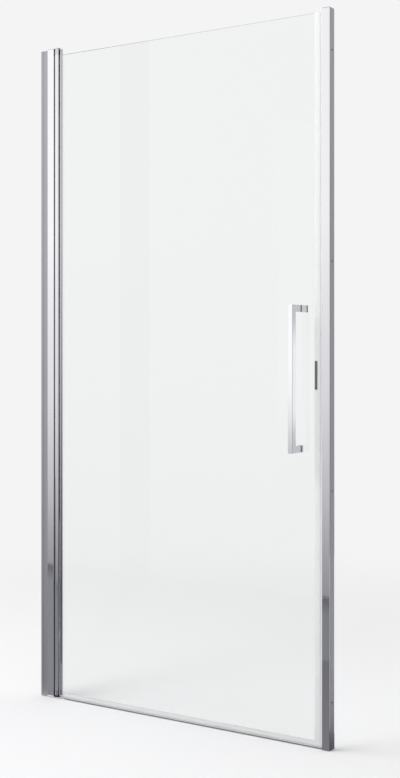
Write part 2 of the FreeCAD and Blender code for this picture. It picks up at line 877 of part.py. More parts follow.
def handle_block(y0, y1, stud_z):
    """A block of the handle's own section about one stud."""
    half_width, half_height = handle_width / 2, handle_section / 2
    return block(
        handle_x - half_width, handle_x + half_width, y0, y1, stud_z - half_height, stud_z + half_height
    )


def make_handle_bow():
    bar_back = bow_front + handle_section
    inner_low = handle_bottom + handle_section
    inner_high = handle_top - handle_section
    outline = [
        (bow_back, handle_bottom),
        (bow_front, handle_bottom),
        (bow_front, handle_top),
        (bow_back, handle_top),
        (bow_back, inner_high),
        (bar_back, inner_high),
        (bar_back, inner_low),
        (bow_back, inner_low),
    ]
    shape = crosswise_prism(outline, handle_x - handle_width / 2, handle_x + handle_width / 2)
    soft = [edge for edge in shape.Edges if edge.BoundBox.YMin < bow_back - same_place]
    shape = shape.makeFillet(handle_edge_radius, soft)
    cuts = []
    depth = stud_in_bow + screw_end_space
    hole_radius = stud_radius + thread_clearance
    for z in (lower_stud_z, upper_stud_z):
        cuts.append(inward(handle_x, z, bow_back - depth, bow_back + over_cut, hole_radius))
    return less(shape, cuts)


def make_handle_studs():
    lower = inward(handle_x, lower_stud_z, bow_back - stud_in_bow, inner_face + stud_in_rose, stud_radius)
    upper = inward(handle_x, upper_stud_z, bow_back - stud_in_bow, inner_face + stud_in_knob, stud_radius)
    return group([lower, upper])


def make_stud_sleeves():
    outer = glass_hole_radius - sleeve_clearance
    inner = stud_radius + sleeve_clearance
    sleeves = []
    for z in (lower_stud_z, upper_stud_z):
        tube = inward(handle_x, z, glass_front, glass_back, outer)
        bore = inward(handle_x, z, glass_front - over_cut, glass_back + over_cut, inner)
        sleeves.append(tube.cut(bore))
    return group(sleeves)


def handle_washers(y0, y1):
    washers = []
    for z in (lower_stud_z, upper_stud_z):
        hole = inward(handle_x, z, y0 - over_cut, y1 + over_cut, stud_radius + sleeve_clearance)
        washers.append(handle_block(y0, y1, z).cut(hole))
    return group(washers)


def make_handle_outer_washers():
    return handle_washers(bow_back, glass_front)


def make_handle_inner_washers():
    return handle_washers(glass_back, inner_face)


def make_inner_knob():
    far = inner_face + knob_length
    shape = handle_block(inner_face, far, upper_stud_z)
    long_edges = [edge for edge in shape.Edges if edge.BoundBox.YLength > knob_length - same_place]
    shape = shape.makeFillet(soft_edge_radius, long_edges)
    stud_hole_end = inner_face + stud_in_knob + screw_end_space
    stud_hole_radius = stud_radius + thread_clearance
    spigot_hole_start = far - knob_cap_spigot_length - screw_end_space
    spigot_hole_radius = knob_cap_spigot_radius + thread_clearance
    cuts = [
        inward(handle_x, upper_stud_z, inner_face - over_cut, stud_hole_end, stud_hole_radius),
        inward(handle_x, upper_stud_z, spigot_hole_start, far + over_cut, spigot_hole_radius),
    ]
    return less(shape, cuts)


def make_inner_knob_cap():
    seat = inner_face + knob_length
    plate = handle_block(seat, seat + knob_cap_thickness, upper_stud_z)
    outer_edges = [edge for edge in plate.Edges if edge.BoundBox.YMax > seat + same_place]
    plate = plate.makeFillet(soft_edge_radius, outer_edges)
    spigot = inward(handle_x, upper_stud_z, seat - knob_cap_spigot_length, seat, knob_cap_spigot_radius)
    return joined([plate, spigot])


def make_lower_rose():
    far = inner_face + rose_thickness
    shape = handle_block(inner_face, far, lower_stud_z)
    outer_edges = [edge for edge in shape.Edges if edge.BoundBox.YMax > inner_face + same_place]
    shape = shape.makeFillet(soft_edge_radius, outer_edges)
    hole_end = inner_face + stud_in_rose + screw_end_space
    hole_radius = stud_radius + thread_clearance
    return shape.cut(inward(handle_x, lower_stud_z, inner_face - over_cut, hole_end, hole_radius))


subparts = {
    "hinge_wall_channel": make_hinge_wall_channel,
    "hinge_channel_cap": make_hinge_channel_cap,
    "hinge_post": make_hinge_post,
    "post_clamp_screws": make_post_clamp_screws,
    "post_screw_caps": make_post_screw_caps,
    "top_pivot_bracket": make_top_pivot_bracket,
    "bottom_pivot_bracket": make_bottom_pivot_bracket,
    "bracket_screws": make_bracket_screws,
    "top_pivot_pin": make_top_pivot_pin,
    "bottom_pivot_pin": make_bottom_pivot_pin,
    "hinge_gap_seal": make_hinge_gap_seal,
    "threshold_bar": make_threshold_bar,
    "strike_wall_channel": make_strike_wall_channel,
    "strike_post": make_strike_post,
    "strike_clamp_screws": make_strike_clamp_screws,
    "strike_screw_caps": make_strike_screw_caps,
    "strike_post_cap": make_strike_post_cap,
    "strike_seal_carrier": make_strike_seal_carrier,
    "strike_magnet_strip": make_strike_magnet_strip,
    "pivot_column": make_pivot_column,
    "glass_clamp_strip": make_glass_clamp_strip,
    "clamp_strip_screws": make_clamp_strip_screws,
    "glass_gasket": make_glass_gasket,
    "top_column_cap": make_top_column_cap,
    "bottom_column_cap": make_bottom_column_cap,
    "column_cap_screws": make_column_cap_screws,
    "top_pivot_bush": make_top_pivot_bush,
    "bottom_pivot_bush": make_bottom_pivot_bush,
    "glass_panel": make_glass_panel,
    "bottom_seal": make_bottom_seal,
    "edge_seal_carrier": make_edge_seal_carrier,
    "edge_magnet_strip": make_edge_magnet_strip,
    "edge_plate": make_edge_plate,
    "handle_bow": make_handle_bow,
    "handle_studs": make_handle_studs,
    "stud_sleeves": make_stud_sleeves,
    "handle_outer_washers": make_handle_outer_washers,
    "handle_inner_washers": make_handle_inner_washers,
    "inner_knob": make_inner_knob,
    "inner_knob_cap": make_inner_knob_cap,
    "lower_rose": make_lower_rose,
}

os.makedirs("parts", exist_ok=True)
for name, make in subparts.items():
    make().exportStep(f"parts/{name}.step")
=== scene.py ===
import bmesh
import bpy
import json
import math
from mathutils import Matrix, Vector


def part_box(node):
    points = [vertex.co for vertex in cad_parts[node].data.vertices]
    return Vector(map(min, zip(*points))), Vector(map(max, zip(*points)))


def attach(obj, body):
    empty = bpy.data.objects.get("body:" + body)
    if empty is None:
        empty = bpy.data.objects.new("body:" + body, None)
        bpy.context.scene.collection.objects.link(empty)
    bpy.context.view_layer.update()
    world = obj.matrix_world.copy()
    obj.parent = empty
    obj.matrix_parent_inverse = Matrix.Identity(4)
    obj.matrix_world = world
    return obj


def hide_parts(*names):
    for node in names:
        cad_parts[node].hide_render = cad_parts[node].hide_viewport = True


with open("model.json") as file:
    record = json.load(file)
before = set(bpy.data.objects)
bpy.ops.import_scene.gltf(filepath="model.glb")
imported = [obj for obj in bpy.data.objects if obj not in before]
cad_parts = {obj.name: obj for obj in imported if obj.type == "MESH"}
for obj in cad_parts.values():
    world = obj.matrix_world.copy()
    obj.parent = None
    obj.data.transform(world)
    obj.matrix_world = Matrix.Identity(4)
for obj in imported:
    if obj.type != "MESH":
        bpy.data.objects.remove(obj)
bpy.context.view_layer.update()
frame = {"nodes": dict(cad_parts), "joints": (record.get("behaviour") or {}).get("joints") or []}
nodes = frame["nodes"]
scene = bpy.context.scene
mm = 0.001
print("frame loaded:", len(nodes), "nodes")


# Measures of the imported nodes, in millimetres: x0, y0, z0, x1, y1, z1

def spanOf(node):
    low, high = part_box(node)
    return [value / mm for value in (*low, *high)]


def middleOf(node):
    x0, y0, _, x1, y1, _ = spanOf(node)
    return (x0 + x1) / 2, (y0 + y1) / 2


# Colours and material nodes

def linear(hexColour):
    channels = [int(hexColour[i:i + 2], 16) / 255 for i in (1, 3, 5)]
    return [c / 12.92 if c <= 0.04045 else ((c + 0.055) / 1.055) ** 2.4 for c in channels] + [1.0]


def addNode(tree, kind, inputs=None, links=None, **settings):
    node = tree.nodes.new(kind)
    for key, value in settings.items():
        setattr(node, key, value)
    for key, value in (inputs or {}).items():
        node.inputs[key].default_value = value
    for key, source in (links or {}).items():
        tree.links.new(source, node.inputs[key])
    return node


def emptyTree(owner):
    owner.use_nodes = True
    owner.node_tree.nodes.clear()
    return owner.node_tree


def mapRange(tree, value, *ends, smooth=False):
    # from one range to another, or to 0 and 1
    inputs = dict(zip(("From Min", "From Max", "To Min", "To Max"), ends))
    node = addNode(tree, "ShaderNodeMapRange", inputs=inputs, links={"Value": value})
    node.interpolation_type = "SMOOTHSTEP" if smooth else "LINEAR"
    return node.outputs["Result"]


def newMaterial(name, inputs):
    material = bpy.data.materials.new(name)
    tree = emptyTree(material)
    shader = addNode(tree, "ShaderNodeBsdfPrincipled", inputs=inputs)
    addNode(tree, "ShaderNodeOutputMaterial", links={"Surface": shader.outputs["BSDF"]})
    place = addNode(tree, "ShaderNodeTexCoord").outputs["Object"]
    return material, tree, shader, place


def stretchedNoise(tree, place, pitches, detail):
    # noise with its own pitch along each axis, in millimetres
    scale = [1 / (pitch * mm) for pitch in pitches]
    mapped = addNode(tree, "ShaderNodeMapping", inputs={"Scale": scale}, links={"Vector": place})
    links = {"Vector": mapped.outputs["Vector"]}
    inputs = {"Scale": 1.0, "Detail": detail}
    return addNode(tree, "ShaderNodeTexNoise", inputs=inputs, links=links).outputs["Fac"]


def addBump(tree, shader, height, depth):
    # depth is the height of the relief in millimetres
    links = {"Height": height}
    bump = addNode(tree, "ShaderNodeBump", inputs={"Distance": depth * mm}, links=links)
    tree.links.new(bump.outputs["Normal"], shader.inputs["Normal"])


def addGrain(tree, shader, place, pitches, roughness, spread, relief, detail=2.0):
    # one noise raises the surface, and its middle half spreads the roughness
    noise = stretchedNoise(tree, place, pitches, detail)
    rough = mapRange(tree, noise, 0.25, 0.75, roughness - spread, roughness + spread)
    tree.links.new(rough, shader.inputs["Roughness"])
    addBump(tree, shader, noise, relief)


def metal(name, colour, roughness, spread, pitches, relief):
    # extruded and turned metals: fine lines along one axis that spread the highlight a little
    inputs = {"Base Color": linear(colour), "Metallic": 1.0}
    material, tree, shader, place = newMaterial(name, inputs)
    addGrain(tree, shader, place, pitches, roughness, spread, relief)
    return material


# roughness, its spread, the pitches and the relief of chrome plate
chromePlate = (0.035, 0.015, (9.0, 9.0, 9.0), 0.0006)


def makeBowChromeWithPaintedSides():
    # bright chrome with a painted reflection on the bow's two sides: a little lighter than the front at the
    # middle and painted darker towards the arms
    look = {"face": "#f4f4f6", "side": "#f8f8fa", "arm": "#cacace", "fadeFrom": 22.0, "fadeTo": 120.0}
    low, high = (value * mm for value in spanOf("handle_bow")[2::3])
    middle, half = (low + high) / 2, (high - low) / 2
    material = metal("chromePlatedBrassBow", look["face"], *chromePlate)
    tree = material.node_tree
    shader = next(node for node in tree.nodes if node.type == "BSDF_PRINCIPLED")
    given = addNode(tree, "ShaderNodeTexCoord").outputs
    height = addNode(tree, "ShaderNodeSeparateXYZ", links={"Vector": given["Object"]}).outputs["Z"]
    offset = addNode(tree, "ShaderNodeMath", inputs={1: middle}, links={0: height}, operation="SUBTRACT")
    outward = addNode(tree, "ShaderNodeMath", links={0: offset.outputs["Value"]}, operation="ABSOLUTE")
    # painted shade: the sides are painted darker towards the arms, by height
    ends = (half - look["fadeTo"] * mm, half - look["fadeFrom"] * mm)
    paintedArmShadeMask = mapRange(tree, outward.outputs["Value"], *ends, smooth=True)
    factor, colourA, colourB, result = 0, 6, 7, 2    # a mix node's sockets for colours
    inputs, links = {colourA: linear(look["side"]), colourB: linear(look["arm"])}, {factor: paintedArmShadeMask}
    paintedSideReflection = addNode(tree, "ShaderNodeMix", inputs=inputs, links=links, data_type="RGBA")
    # the painted reflection goes only on the faces that turn sideways, by their facing
    across = addNode(tree, "ShaderNodeSeparateXYZ", links={"Vector": given["Normal"]}).outputs["X"]
    paintedSideMask = addNode(tree, "ShaderNodeMath", links={0: across}, operation="ABSOLUTE").outputs["Value"]
    inputs, links = {colourA: linear(look["face"])}, {factor: paintedSideMask, colourB: paintedSideReflection.outputs[result]}
    mix = addNode(tree, "ShaderNodeMix", inputs=inputs, links=links, data_type="RGBA")
    tree.links.new(mix.outputs[result], shader.inputs["Base Color"])
    return material


def plastic(name, colour, roughness, grain, relief, ior=1.49):
    # moulded and extruded plastics: an even colour with a fine grain that softens the shine
    spread, detail = 0.06, 3.0
    inputs = {"Base Color": linear(colour), "IOR": ior}
    material, tree, shader, place = newMaterial(name, inputs)
    addGrain(tree, shader, place, (grain, grain, grain), roughness, spread, relief, detail)
    return material


def makeFloatGlass():
    # tempered float glass: clear and sharp, with the long faint roller wave that tempering leaves
    look = {"colour": "#fbfdfc", "ior": 1.52, "wave": (600.0, 600.0, 260.0), "relief": 0.004}
    inputs = {
        "Base Color": linear(look["colour"]), "IOR": look["ior"],
        "Roughness": 0.0, "Transmission Weight": 1.0,
    }
    material, tree, shader, place = newMaterial("temperedFloatGlassPolishedEdges", inputs)
    addBump(tree, shader, stretchedNoise(tree, place, look["wave"], 0.0), look["relief"])
    return material


def makeClearPvc():
    # extruded clear PVC: milky, glossy along the pull, lets some of the light through
    look = {
        "colour": "#f6f7f7", "ior": 1.53, "transmission": 0.25,
        "roughness": 0.2, "spread": 0.07, "pitches": (0.8, 0.8, 60.0), "relief": 0.01,
    }
    inputs = {
        "Base Color": linear(look["colour"]), "IOR": look["ior"],
        "Transmission Weight": look["transmission"],
    }
    material, tree, shader, place = newMaterial("clearPvcExtruded", inputs)
    addGrain(tree, shader, place, look["pitches"], look["roughness"], look["spread"], look["relief"])
    return material


# Line pitches are across X, across Y and along Z; die lines run the whole length of a profile.
# The finest of them are drawn at half a millimetre, because real ones are too fine to show.

# satin anodised: an even grey sheen without an image in it
satinAluminium = metal("satinAnodisedAluminium", "#c3c3c7", 0.66, 0.05, (0.5, 0.5, 400.0), 0.006)
satinBar = metal("satinAnodisedAluminiumAlongX", "#e4e4e6", 0.6, 0.05, (400.0, 0.5, 0.5), 0.006)
# polished: mirrors the room, drawn out a little along the profile
brightAluminium = metal("brightPolishedAluminium", "#f6f6f8", 0.045, 0.015, (0.9, 0.9, 500.0), 0.0004)
# chrome plate: a sharp white mirror, softer over a casting
chromeOnBrass = metal("chromePlatedBrass", "#f4f4f6", *chromePlate)
# the bow's chrome carries a painted reflection on its two sides
bowChromeWithPaintedSides = makeBowChromeWithPaintedSides()
chromeOnZinc = metal("chromePlatedZincCasting", "#e0e0e3", 0.09, 0.03, (2.5, 2.5, 2.5), 0.002)
# steel: greyer than chrome, with polishing or turning lines that blur its highlights
polishedSteel = metal("polishedStainlessPlate", "#dcdcdd", 0.09, 0.03, (14.0, 0.4, 14.0), 0.001)
turnedSteel = metal("turnedStainlessSteel", "#c2c2c3", 0.24, 0.05, (0.3, 0.3, 0.3), 0.002)
platedPlate = metal("darkSatinSteelPlate", "#7d8081", 0.42, 0.05, (0.4, 0.4, 30.0), 0.004)
# moulded ABS and acetal: even colours with a soft shine
greyPlastic = plastic("greyMouldedAbs", "#a7a8ab", 0.42, 0.9, 0.008)
blackAcetal = plastic("blackMouldedAcetal", "#262628", 0.38, 0.8, 0.006, 1.48)
whiteAcetal = plastic("whiteMouldedAcetal", "#e4e3df", 0.4, 0.8, 0.006, 1.48)
# rubbers: nearly matt
blackRubber = plastic("blackExtrudedEpdm", "#1d1d20", 0.5, 0.7, 0.01, 1.52)
greyRubber = plastic("paleExtrudedGasketRubber", "#d2d3d5", 0.55, 0.7, 0.01, 1.52)
magnetRubber = plastic("paleFlexibleMagnet", "#f4f4f4", 0.5, 1.2, 0.02, 1.5)
floatGlass = makeFloatGlass()
clearPvc = makeClearPvc()
print("materials made:", len(bpy.data.materials))


# Mesh tools. Outlines are in millimetres, anticlockwise, each corner as (u, v, radius)

weld = {"profile": 0.002, "copy": 0.001}
past = 1.0      # how far a cutter stands past the face that it cuts
cutterSides = 32
wayOf = {"X": Vector((1, 0, 0)), "Z": Vector((0, 0, 1))}


def arcPoints(centre, radius, start, end, steps):
    angles = [start + (end - start) * i / steps for i in range(steps + 1)]
    return [(centre[0] + radius * math.cos(a), centre[1] + radius * math.sin(a)) for a in angles]


def roundedOutline(corners, steps=5):
    points = []
    for i, (u, v, radius) in enumerate(corners):
        here = Vector((u, v))
        if not radius:
            points.append((u, v))
            continue
        back = (Vector(corners[i - 1][:2]) - here).normalized()
        ahead = (Vector(corners[(i + 1) % len(corners)][:2]) - here).normalized()
        half = back.angle(ahead) / 2
        centre = here + (back + ahead).normalized() * (radius / math.sin(half))
        first = here + back * (radius / math.tan(half)) - centre
        last = here + ahead * (radius / math.tan(half)) - centre
        start = math.atan2(first.y, first.x)
        turn = (math.atan2(last.y, last.x) - start + math.pi) % math.tau - math.pi
        points += arcPoints(centre, radius, start, start + turn, steps)
    return points


def mirrored(side):
    # one side of an outline, then its mirror image about v 0
    return side + [(u, -v, radius) for u, v, radius in reversed(side)]


def circle(u, v, radius, sides=40):
    return arcPoints((u, v), radius, 0.0, math.tau, sides)[:-1]


def rectangle(x0, y0, x1, y1, radius):
    return [(x0, y0, radius), (x1, y0, radius), (x1, y1, radius), (x0, y1, radius)]


def link(name, mesh, material):
    piece = bpy.data.objects.new(name, mesh)
    scene.collection.objects.link(piece)
    mesh.materials.clear()
    mesh.materials.append(material)
    return piece


def regionMesh(name, loops, along):
    # a flat region with holes, across the way that it is pulled
    mesh = bpy.data.meshes.new(name)
    shape = bmesh.new()
    for loop in loops:
        ring = []
        for u, v in loop:
            place = (u, v, 0.0) if along == "Z" else (0.0, u, v)
            ring.append(shape.verts.new(Vector(place) * mm))
        for i, vertex in enumerate(ring):
            shape.edges.new((vertex, ring[(i + 1) % len(ring)]))
    bmesh.ops.triangle_fill(shape, edges=shape.edges, use_beauty=True, use_dissolve=False)
    for face in shape.faces:
        face.normal_update()
        if face.normal.dot(wayOf[along]) < 0:
            face.normal_flip()
    shape.to_mesh(mesh)
    shape.free()
    return mesh


def newTree(name, sockets):
    # a modifier's tree: its inputs lie between the geometry and the material
    tree = bpy.data.node_groups.new(name, "GeometryNodeTree")
    tree.is_modifier = True
    for socket, kind in (("Geometry", "Geometry"), *sockets, ("Material", "Material")):
        tree.interface.new_socket(name=socket, in_out="INPUT", socket_type="NodeSocket" + kind)
    tree.interface.new_socket(name="Geometry", in_out="OUTPUT", socket_type="NodeSocketGeometry")
    return tree, addNode(tree, "NodeGroupInput").outputs


def endTree(tree, geometry, material):
    # real geometry with one material leaves the tree
    real = addNode(tree, "GeometryNodeRealizeInstances", links={"Geometry": geometry}).outputs["Geometry"]
    links = {"Geometry": real, "Material": material}
    painted = addNode(tree, "GeometryNodeSetMaterial", links=links).outputs["Geometry"]
    addNode(tree, "NodeGroupOutput", links={"Geometry": painted})
    return tree


def makePulledProfileTree():
    # pulls a flat region into a closed profile: walls from the region's rim, and a cap at each end
    tree, given = newTree("pulledProfile", (("Start", "Vector"), ("Pull", "Vector")))
    links = {"Geometry": given["Geometry"], "Offset": given["Start"]}
    region = addNode(tree, "GeometryNodeSetPosition", links=links).outputs["Geometry"]
    inputs, links = {"Individual": False}, {"Mesh": region, "Offset": given["Pull"]}
    walls = addNode(tree, "GeometryNodeExtrudeMesh", inputs=inputs, links=links)
    base = addNode(tree, "GeometryNodeFlipFaces", links={"Mesh": region})
    whole = addNode(tree, "GeometryNodeJoinGeometry")
    tree.links.new(walls.outputs["Mesh"], whole.inputs["Geometry"])
    tree.links.new(base.outputs["Mesh"], whole.inputs["Geometry"])
    inputs, links = {"Distance": weld["profile"] * mm}, {"Geometry": whole.outputs["Geometry"]}
    merged = addNode(tree, "GeometryNodeMergeByDistance", inputs=inputs, links=links)
    return endTree(tree, merged.outputs["Geometry"], given["Material"])


def makeRowTree():
    # repeats one fastener at even steps from a first place
    what = (("Fastener", "Object"), ("Count", "Int"))
    where = (("First", "Vector"), ("Step", "Vector"), ("Turn", "Rotation"))
    tree, given = newTree("fastenerRow", what + where)
    links = {"Count": given["Count"], "Start Location": given["First"], "Offset": given["Step"]}
    line = addNode(tree, "GeometryNodeMeshLine", links=links).outputs["Mesh"]
    source = addNode(tree, "GeometryNodeObjectInfo", links={"Object": given["Fastener"]}).outputs["Geometry"]
    links = {"Points": line, "Instance": source, "Rotation": given["Turn"]}
    rows = addNode(tree, "GeometryNodeInstanceOnPoints", links=links).outputs["Instances"]
    return endTree(tree, rows, given["Material"])


pulledProfile = makePulledProfileTree()
fastenerRow = makeRowTree()


def setInputs(modifier, values):
    # inputs are set by the identifier of the socket that has the given name
    for item in modifier.node_group.interface.items_tree:
        if item.in_out == "INPUT" and item.name in values:
            modifier[item.identifier] = values[item.name]


def settle(piece):
    # the evaluated shape becomes the piece's own plain mesh
    bpy.context.view_layer.update()
    shown = piece.evaluated_get(bpy.context.evaluated_depsgraph_get())
    mesh = bpy.data.meshes.new_from_object(shown)
    material = piece.data.materials[0]
    piece.modifiers.clear()
    piece.data = mesh
    mesh.materials.clear()
    mesh.materials.append(material)
    return piece


def soften(piece):
    # smooth over shallow angles, sharp over steep ones, with the flats kept flat
    limit = math.radians(32.0)
    shape = bmesh.new()
    shape.from_mesh(piece.data)
    for face in shape.faces:
        face.smooth = True
    for edge in shape.edges:
        edge.smooth = len(edge.link_faces) == 2 and edge.calc_face_angle(0.0) < limit
    shape.to_mesh(piece.data)
    shape.free()
    finish = piece.modifiers.new("evenNormals", "WEIGHTED_NORMAL")
    finish.keep_sharp = True
    settle(piece)


def pulled(name, loops, low, high, material, along="Z"):
    # a profile between two places along its pull, in millimetres
    piece = link(name, regionMesh(name, loops, along), material)
    modifier = piece.modifiers.new("pull", "NODES")
    modifier.node_group = pulledProfile
    start, pull = wayOf[along] * low * mm, wayOf[along] * (high - low) * mm
    setInputs(modifier, {"Start": start, "Pull": pull, "Material": material})
    return settle(piece)


def turned(name, profile, material, sides=48):
    # a closed round part about the Z axis from (radius, height) pairs in millimetres
    mesh = bpy.data.meshes.new(name)
    shape = bmesh.new()
    rings = []
    for radius, height in profile:
        ring = circle(0.0, 0.0, radius, sides) if radius else [(0.0, 0.0)]
        rings.append([shape.verts.new(Vector((x, y, height)) * mm) for x, y in ring])
    closed = profile[0][0] and profile[-1][0]
    pairs = list(zip(rings, rings[1:])) + ([(rings[-1], rings[0])] if closed else [])
    for one, two in pairs:
        for i in range(sides):
            j = (i + 1) % sides
            corners = [one[i % len(one)], one[j % len(one)], two[j % len(two)], two[i % len(two)]]
            shape.faces.new(list(dict.fromkeys(corners)))
    bmesh.ops.recalc_face_normals(shape, faces=shape.faces)
    shape.to_mesh(mesh)
    shape.free()
    return link(name, mesh, material)


def placed(piece, place, axis=(0, 0, 1)):
    # turns the mesh's Z axis to the given axis and moves it there, in millimetres
    turn = wayOf["Z"].rotation_difference(Vector(axis)).to_matrix().to_4x4()
    piece.data.transform(Matrix.Translation(Vector(place) * mm) @ turn)
    return piece


def joinedPiece(name, parts):
    shape = bmesh.new()
    for part in parts:
        shape.from_mesh(part.data)
    mesh = bpy.data.meshes.new(name)
    shape.to_mesh(mesh)
    shape.free()
    material = parts[0].data.materials[0]
    for part in parts:
        bpy.data.objects.remove(part)
    return link(name, mesh, material)


def combine(piece, tools, operation="DIFFERENCE"):
    # cuts tools out of a piece or fuses them with it
    tool = joinedPiece("tool", tools)
    work = piece.modifiers.new("combine", "BOOLEAN")
    work.operation = operation
    work.solver = "EXACT"
    work.object = tool
    settle(piece)
    bpy.data.objects.remove(tool)
    return piece


def rod(place, axis, radius, length):
    # a round cutter or boss that starts at a place
    profile = [(0.0, 0.0), (radius, 0.0), (radius, length), (0.0, length)]
    return placed(turned("rod", profile, satinAluminium, cutterSides), place, axis)


def nameOf(node):
    # a piece is named after its node
    first, *rest = node.split("_")
    return first + "".join(word.title() for word in rest)


def softCopy(node, material, bevel):
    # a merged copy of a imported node, its sharp edges broken by a bevel in millimetres
    flat, sharp, segments = math.radians(0.5), math.radians(40), 2
    mesh = nodes[node].data.copy()
    shape = bmesh.new()
    shape.from_mesh(mesh)
    bmesh.ops.remove_doubles(shape, verts=shape.verts, dist=weld["copy"] * mm)
    bmesh.ops.dissolve_limit(shape, angle_limit=flat, verts=shape.verts, edges=shape.edges)
    shape.to_mesh(mesh)
    shape.free()
    mesh.name = nameOf(node)
    piece = link(mesh.name, mesh, material)
    if bevel:
        edge = piece.modifiers.new("brokenEdges", "BEVEL")
        edge.width = bevel * mm
        edge.segments = segments
        edge.limit_method = "ANGLE"
        edge.angle_limit = sharp
        edge.use_clamp_overlap = True
        settle(piece)
    return piece


made = []


def finished(piece, body, slot, *stoodFor):
    soften(piece)
    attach(piece, body)
    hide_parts(*stoodFor)
    made.append(piece.name)


# Wall channels: satin extrusions with the web on the wall

def makeWallChannel(node, way, fluted):
    channel = {"wall": 1.6, "web": 2.0, "edge": 0.3, "heel": 0.6}
    flute = {"start": 8.2, "width": 3.6, "depth": 0.7, "edge": 0.2, "root": 0.25}
    holes = {"radius": 3.0, "length": 5.0, "spacings": (-850.0, -300.0, 300.0, 850.0)}
    # the foot of the fluted channel is cut free behind the post, for the bracket under it
    notch = {"gap": 0.2, "height": 3.2}
    x0, _, z0, x1, y1, z1 = spanOf(node)
    wallX, tipX = (x0, x1) if way > 0 else (x1, x0)
    half, inner, webX = y1, y1 - channel["wall"], wallX + way * channel["web"]
    near, far = wallX + way * flute["start"], wallX + way * (flute["start"] + flute["width"])
    deep, edge, root = half - flute["depth"], flute["edge"], flute["root"]
    front = [(near, -half, edge), (near, -deep, root), (far, -deep, root), (far, -half, edge)]
    edge, heel = channel["edge"], channel["heel"]
    side = [
        (wallX, -half, heel), *(front if fluted else []),
        (tipX, -half, edge), (tipX, -inner, edge), (webX, -inner, edge),
    ]
    outline = mirrored(side)
    if way < 0:
        outline = outline[::-1]
    piece = pulled(nameOf(node), [roundedOutline(outline)], z0, z1, satinAluminium)
    holeHeights = [spanOf("top_pivot_bracket")[5] / 2 + spacing for spacing in holes["spacings"]]
    startX = wallX - way * past
    drill = [rod((startX, 0.0, z), (way, 0, 0), holes["radius"], holes["length"]) for z in holeHeights]
    if fluted:
        left = spanOf("hinge_post")[0] - notch["gap"]
        block = roundedOutline(rectangle(left, -half - past, tipX + past, half + past, 0.0))
        drill.append(pulled("notch", [block], -past, notch["height"], satinAluminium))
    combine(piece, drill)
    finished(piece, "frame", "satin_aluminium", node)


makeWallChannel("hinge_wall_channel", 1, True)
makeWallChannel("strike_wall_channel", -1, False)


# Bright posts: the hinge post has the seal's groove and two screw ports, the strike post a seal rail

post = {
    "wall": 1.8, "corner": 1.2, "edge": 0.3, "inside": 0.5,
    "screwHole": 1.95, "drillDepth": 4.0, "drillLength": 6.0,
}
clampHead = 3.2
clampSpan = spanOf("post_clamp_screws")
clampLow, clampHigh = clampSpan[2] + clampHead, clampSpan[5] - clampHead
clampHeights = (clampLow, (clampLow + clampHigh) / 2, clampHigh)


def clampHoles(node):
    startY = spanOf("hinge_post")[4] - post["drillDepth"]
    places = [(middleOf(node)[0], startY, z) for z in clampHeights]
    return [rod(place, (0, 1, 0), post["screwHole"], post["drillLength"]) for place in places]


def makeHingePost():
    port = {"spacing": 12.0, "radius": 3.25, "hole": 1.95, "bite": 0.6}
    groove = {"half": 2.0, "depth": 0.9, "edge": 0.15}
    x0, y0, z0, x1, y1, z1 = spanOf("hinge_post")
    sealY = middleOf("hinge_gap_seal")[1]
    inner, webX = y1 - post["wall"], x1 - post["wall"]
    low, high, deepX = sealY - groove["half"], sealY + groove["half"], x1 - groove["depth"]
    edge, corner, inside, rim = post["edge"], post["corner"], post["inside"], groove["edge"]
    outline = [
        (x0, y0, edge), (x1, y0, corner),
        (x1, low, rim), (deepX, low, rim), (deepX, high, rim), (x1, high, rim),
        (x1, y1, corner), (x0, y1, edge), (x0, inner, edge),
        (webX, inner, inside), (webX, -inner, inside), (x0, -inner, edge),
    ]
    piece = pulled("hingePost", [roundedOutline(outline)], z0, z1, brightAluminium)
    portX, up, length = webX - port["radius"] + port["bite"], (0, 0, 1), z1 - z0
    spots = [(portX, way * port["spacing"] / 2) for way in (-1, 1)]
    combine(piece, [rod((x, y, z0), up, port["radius"], length) for x, y in spots], "UNION")
    drill = [rod((x, y, z0 - past), up, port["hole"], length + 2 * past) for x, y in spots]
    combine(piece, drill + clampHoles("post_clamp_screws"))
    finished(piece, "frame", "bright_aluminium", "hinge_post")


def makeStrikePost():
    rail = {"reach": 3.0, "outer": 5.8, "mouth": 3.2, "inner": 4.6, "hook": 1.0, "edge": 0.3, "lip": 0.2}
    x0, y0, z0, x1, y1, z1 = spanOf("strike_post")
    faceX = x0 + rail["reach"]
    inner, webX, hookX = y1 - post["wall"], faceX + post["wall"], x0 + rail["hook"]
    edge, corner, inside = post["edge"], post["corner"], post["inside"]
    hook = [
        (faceX, rail["outer"], rail["edge"]), (x0, rail["outer"], rail["edge"]),
        (x0, rail["mouth"], rail["lip"]), (hookX, rail["mouth"], rail["lip"]),
        (hookX, rail["inner"], 0.0), (faceX, rail["inner"], 0.0),
    ]
    outline = [
        (faceX, y0, corner), (x1, y0, edge), (x1, -inner, edge),
        (webX, -inner, inside), (webX, inner, inside), (x1, inner, edge),
        (x1, y1, edge), (faceX, y1, corner),
        *mirrored(hook),
    ]
    piece = pulled("strikePost", [roundedOutline(outline)], z0, z1, brightAluminium)
    combine(piece, clampHoles("strike_clamp_screws"))
    finished(piece, "frame", "bright_aluminium", "strike_post")


makeHingePost()
makeStrikePost()
print("channels and posts made")


# Pivot column: round part, lip in front of the glass, and the web that the strip is screwed to

column = {
    "radius": 8.8, "bore": 3.5, "pocketHalf": 3.6, "pocketFloor": 6.35, "webPast": 3.2,
    "lipEdge": 1.6, "lipRoot": 3.1, "lipCorner": 0.5, "lipFlat": 5.0, "lipRear": 0.25,
    "pocketEdge": 0.2, "webEdge": 0.3, "steps": 72,
}
joint = frame["joints"][0]
pivotX, pivotY = (value / mm for value in joint["pos_m"][:2])


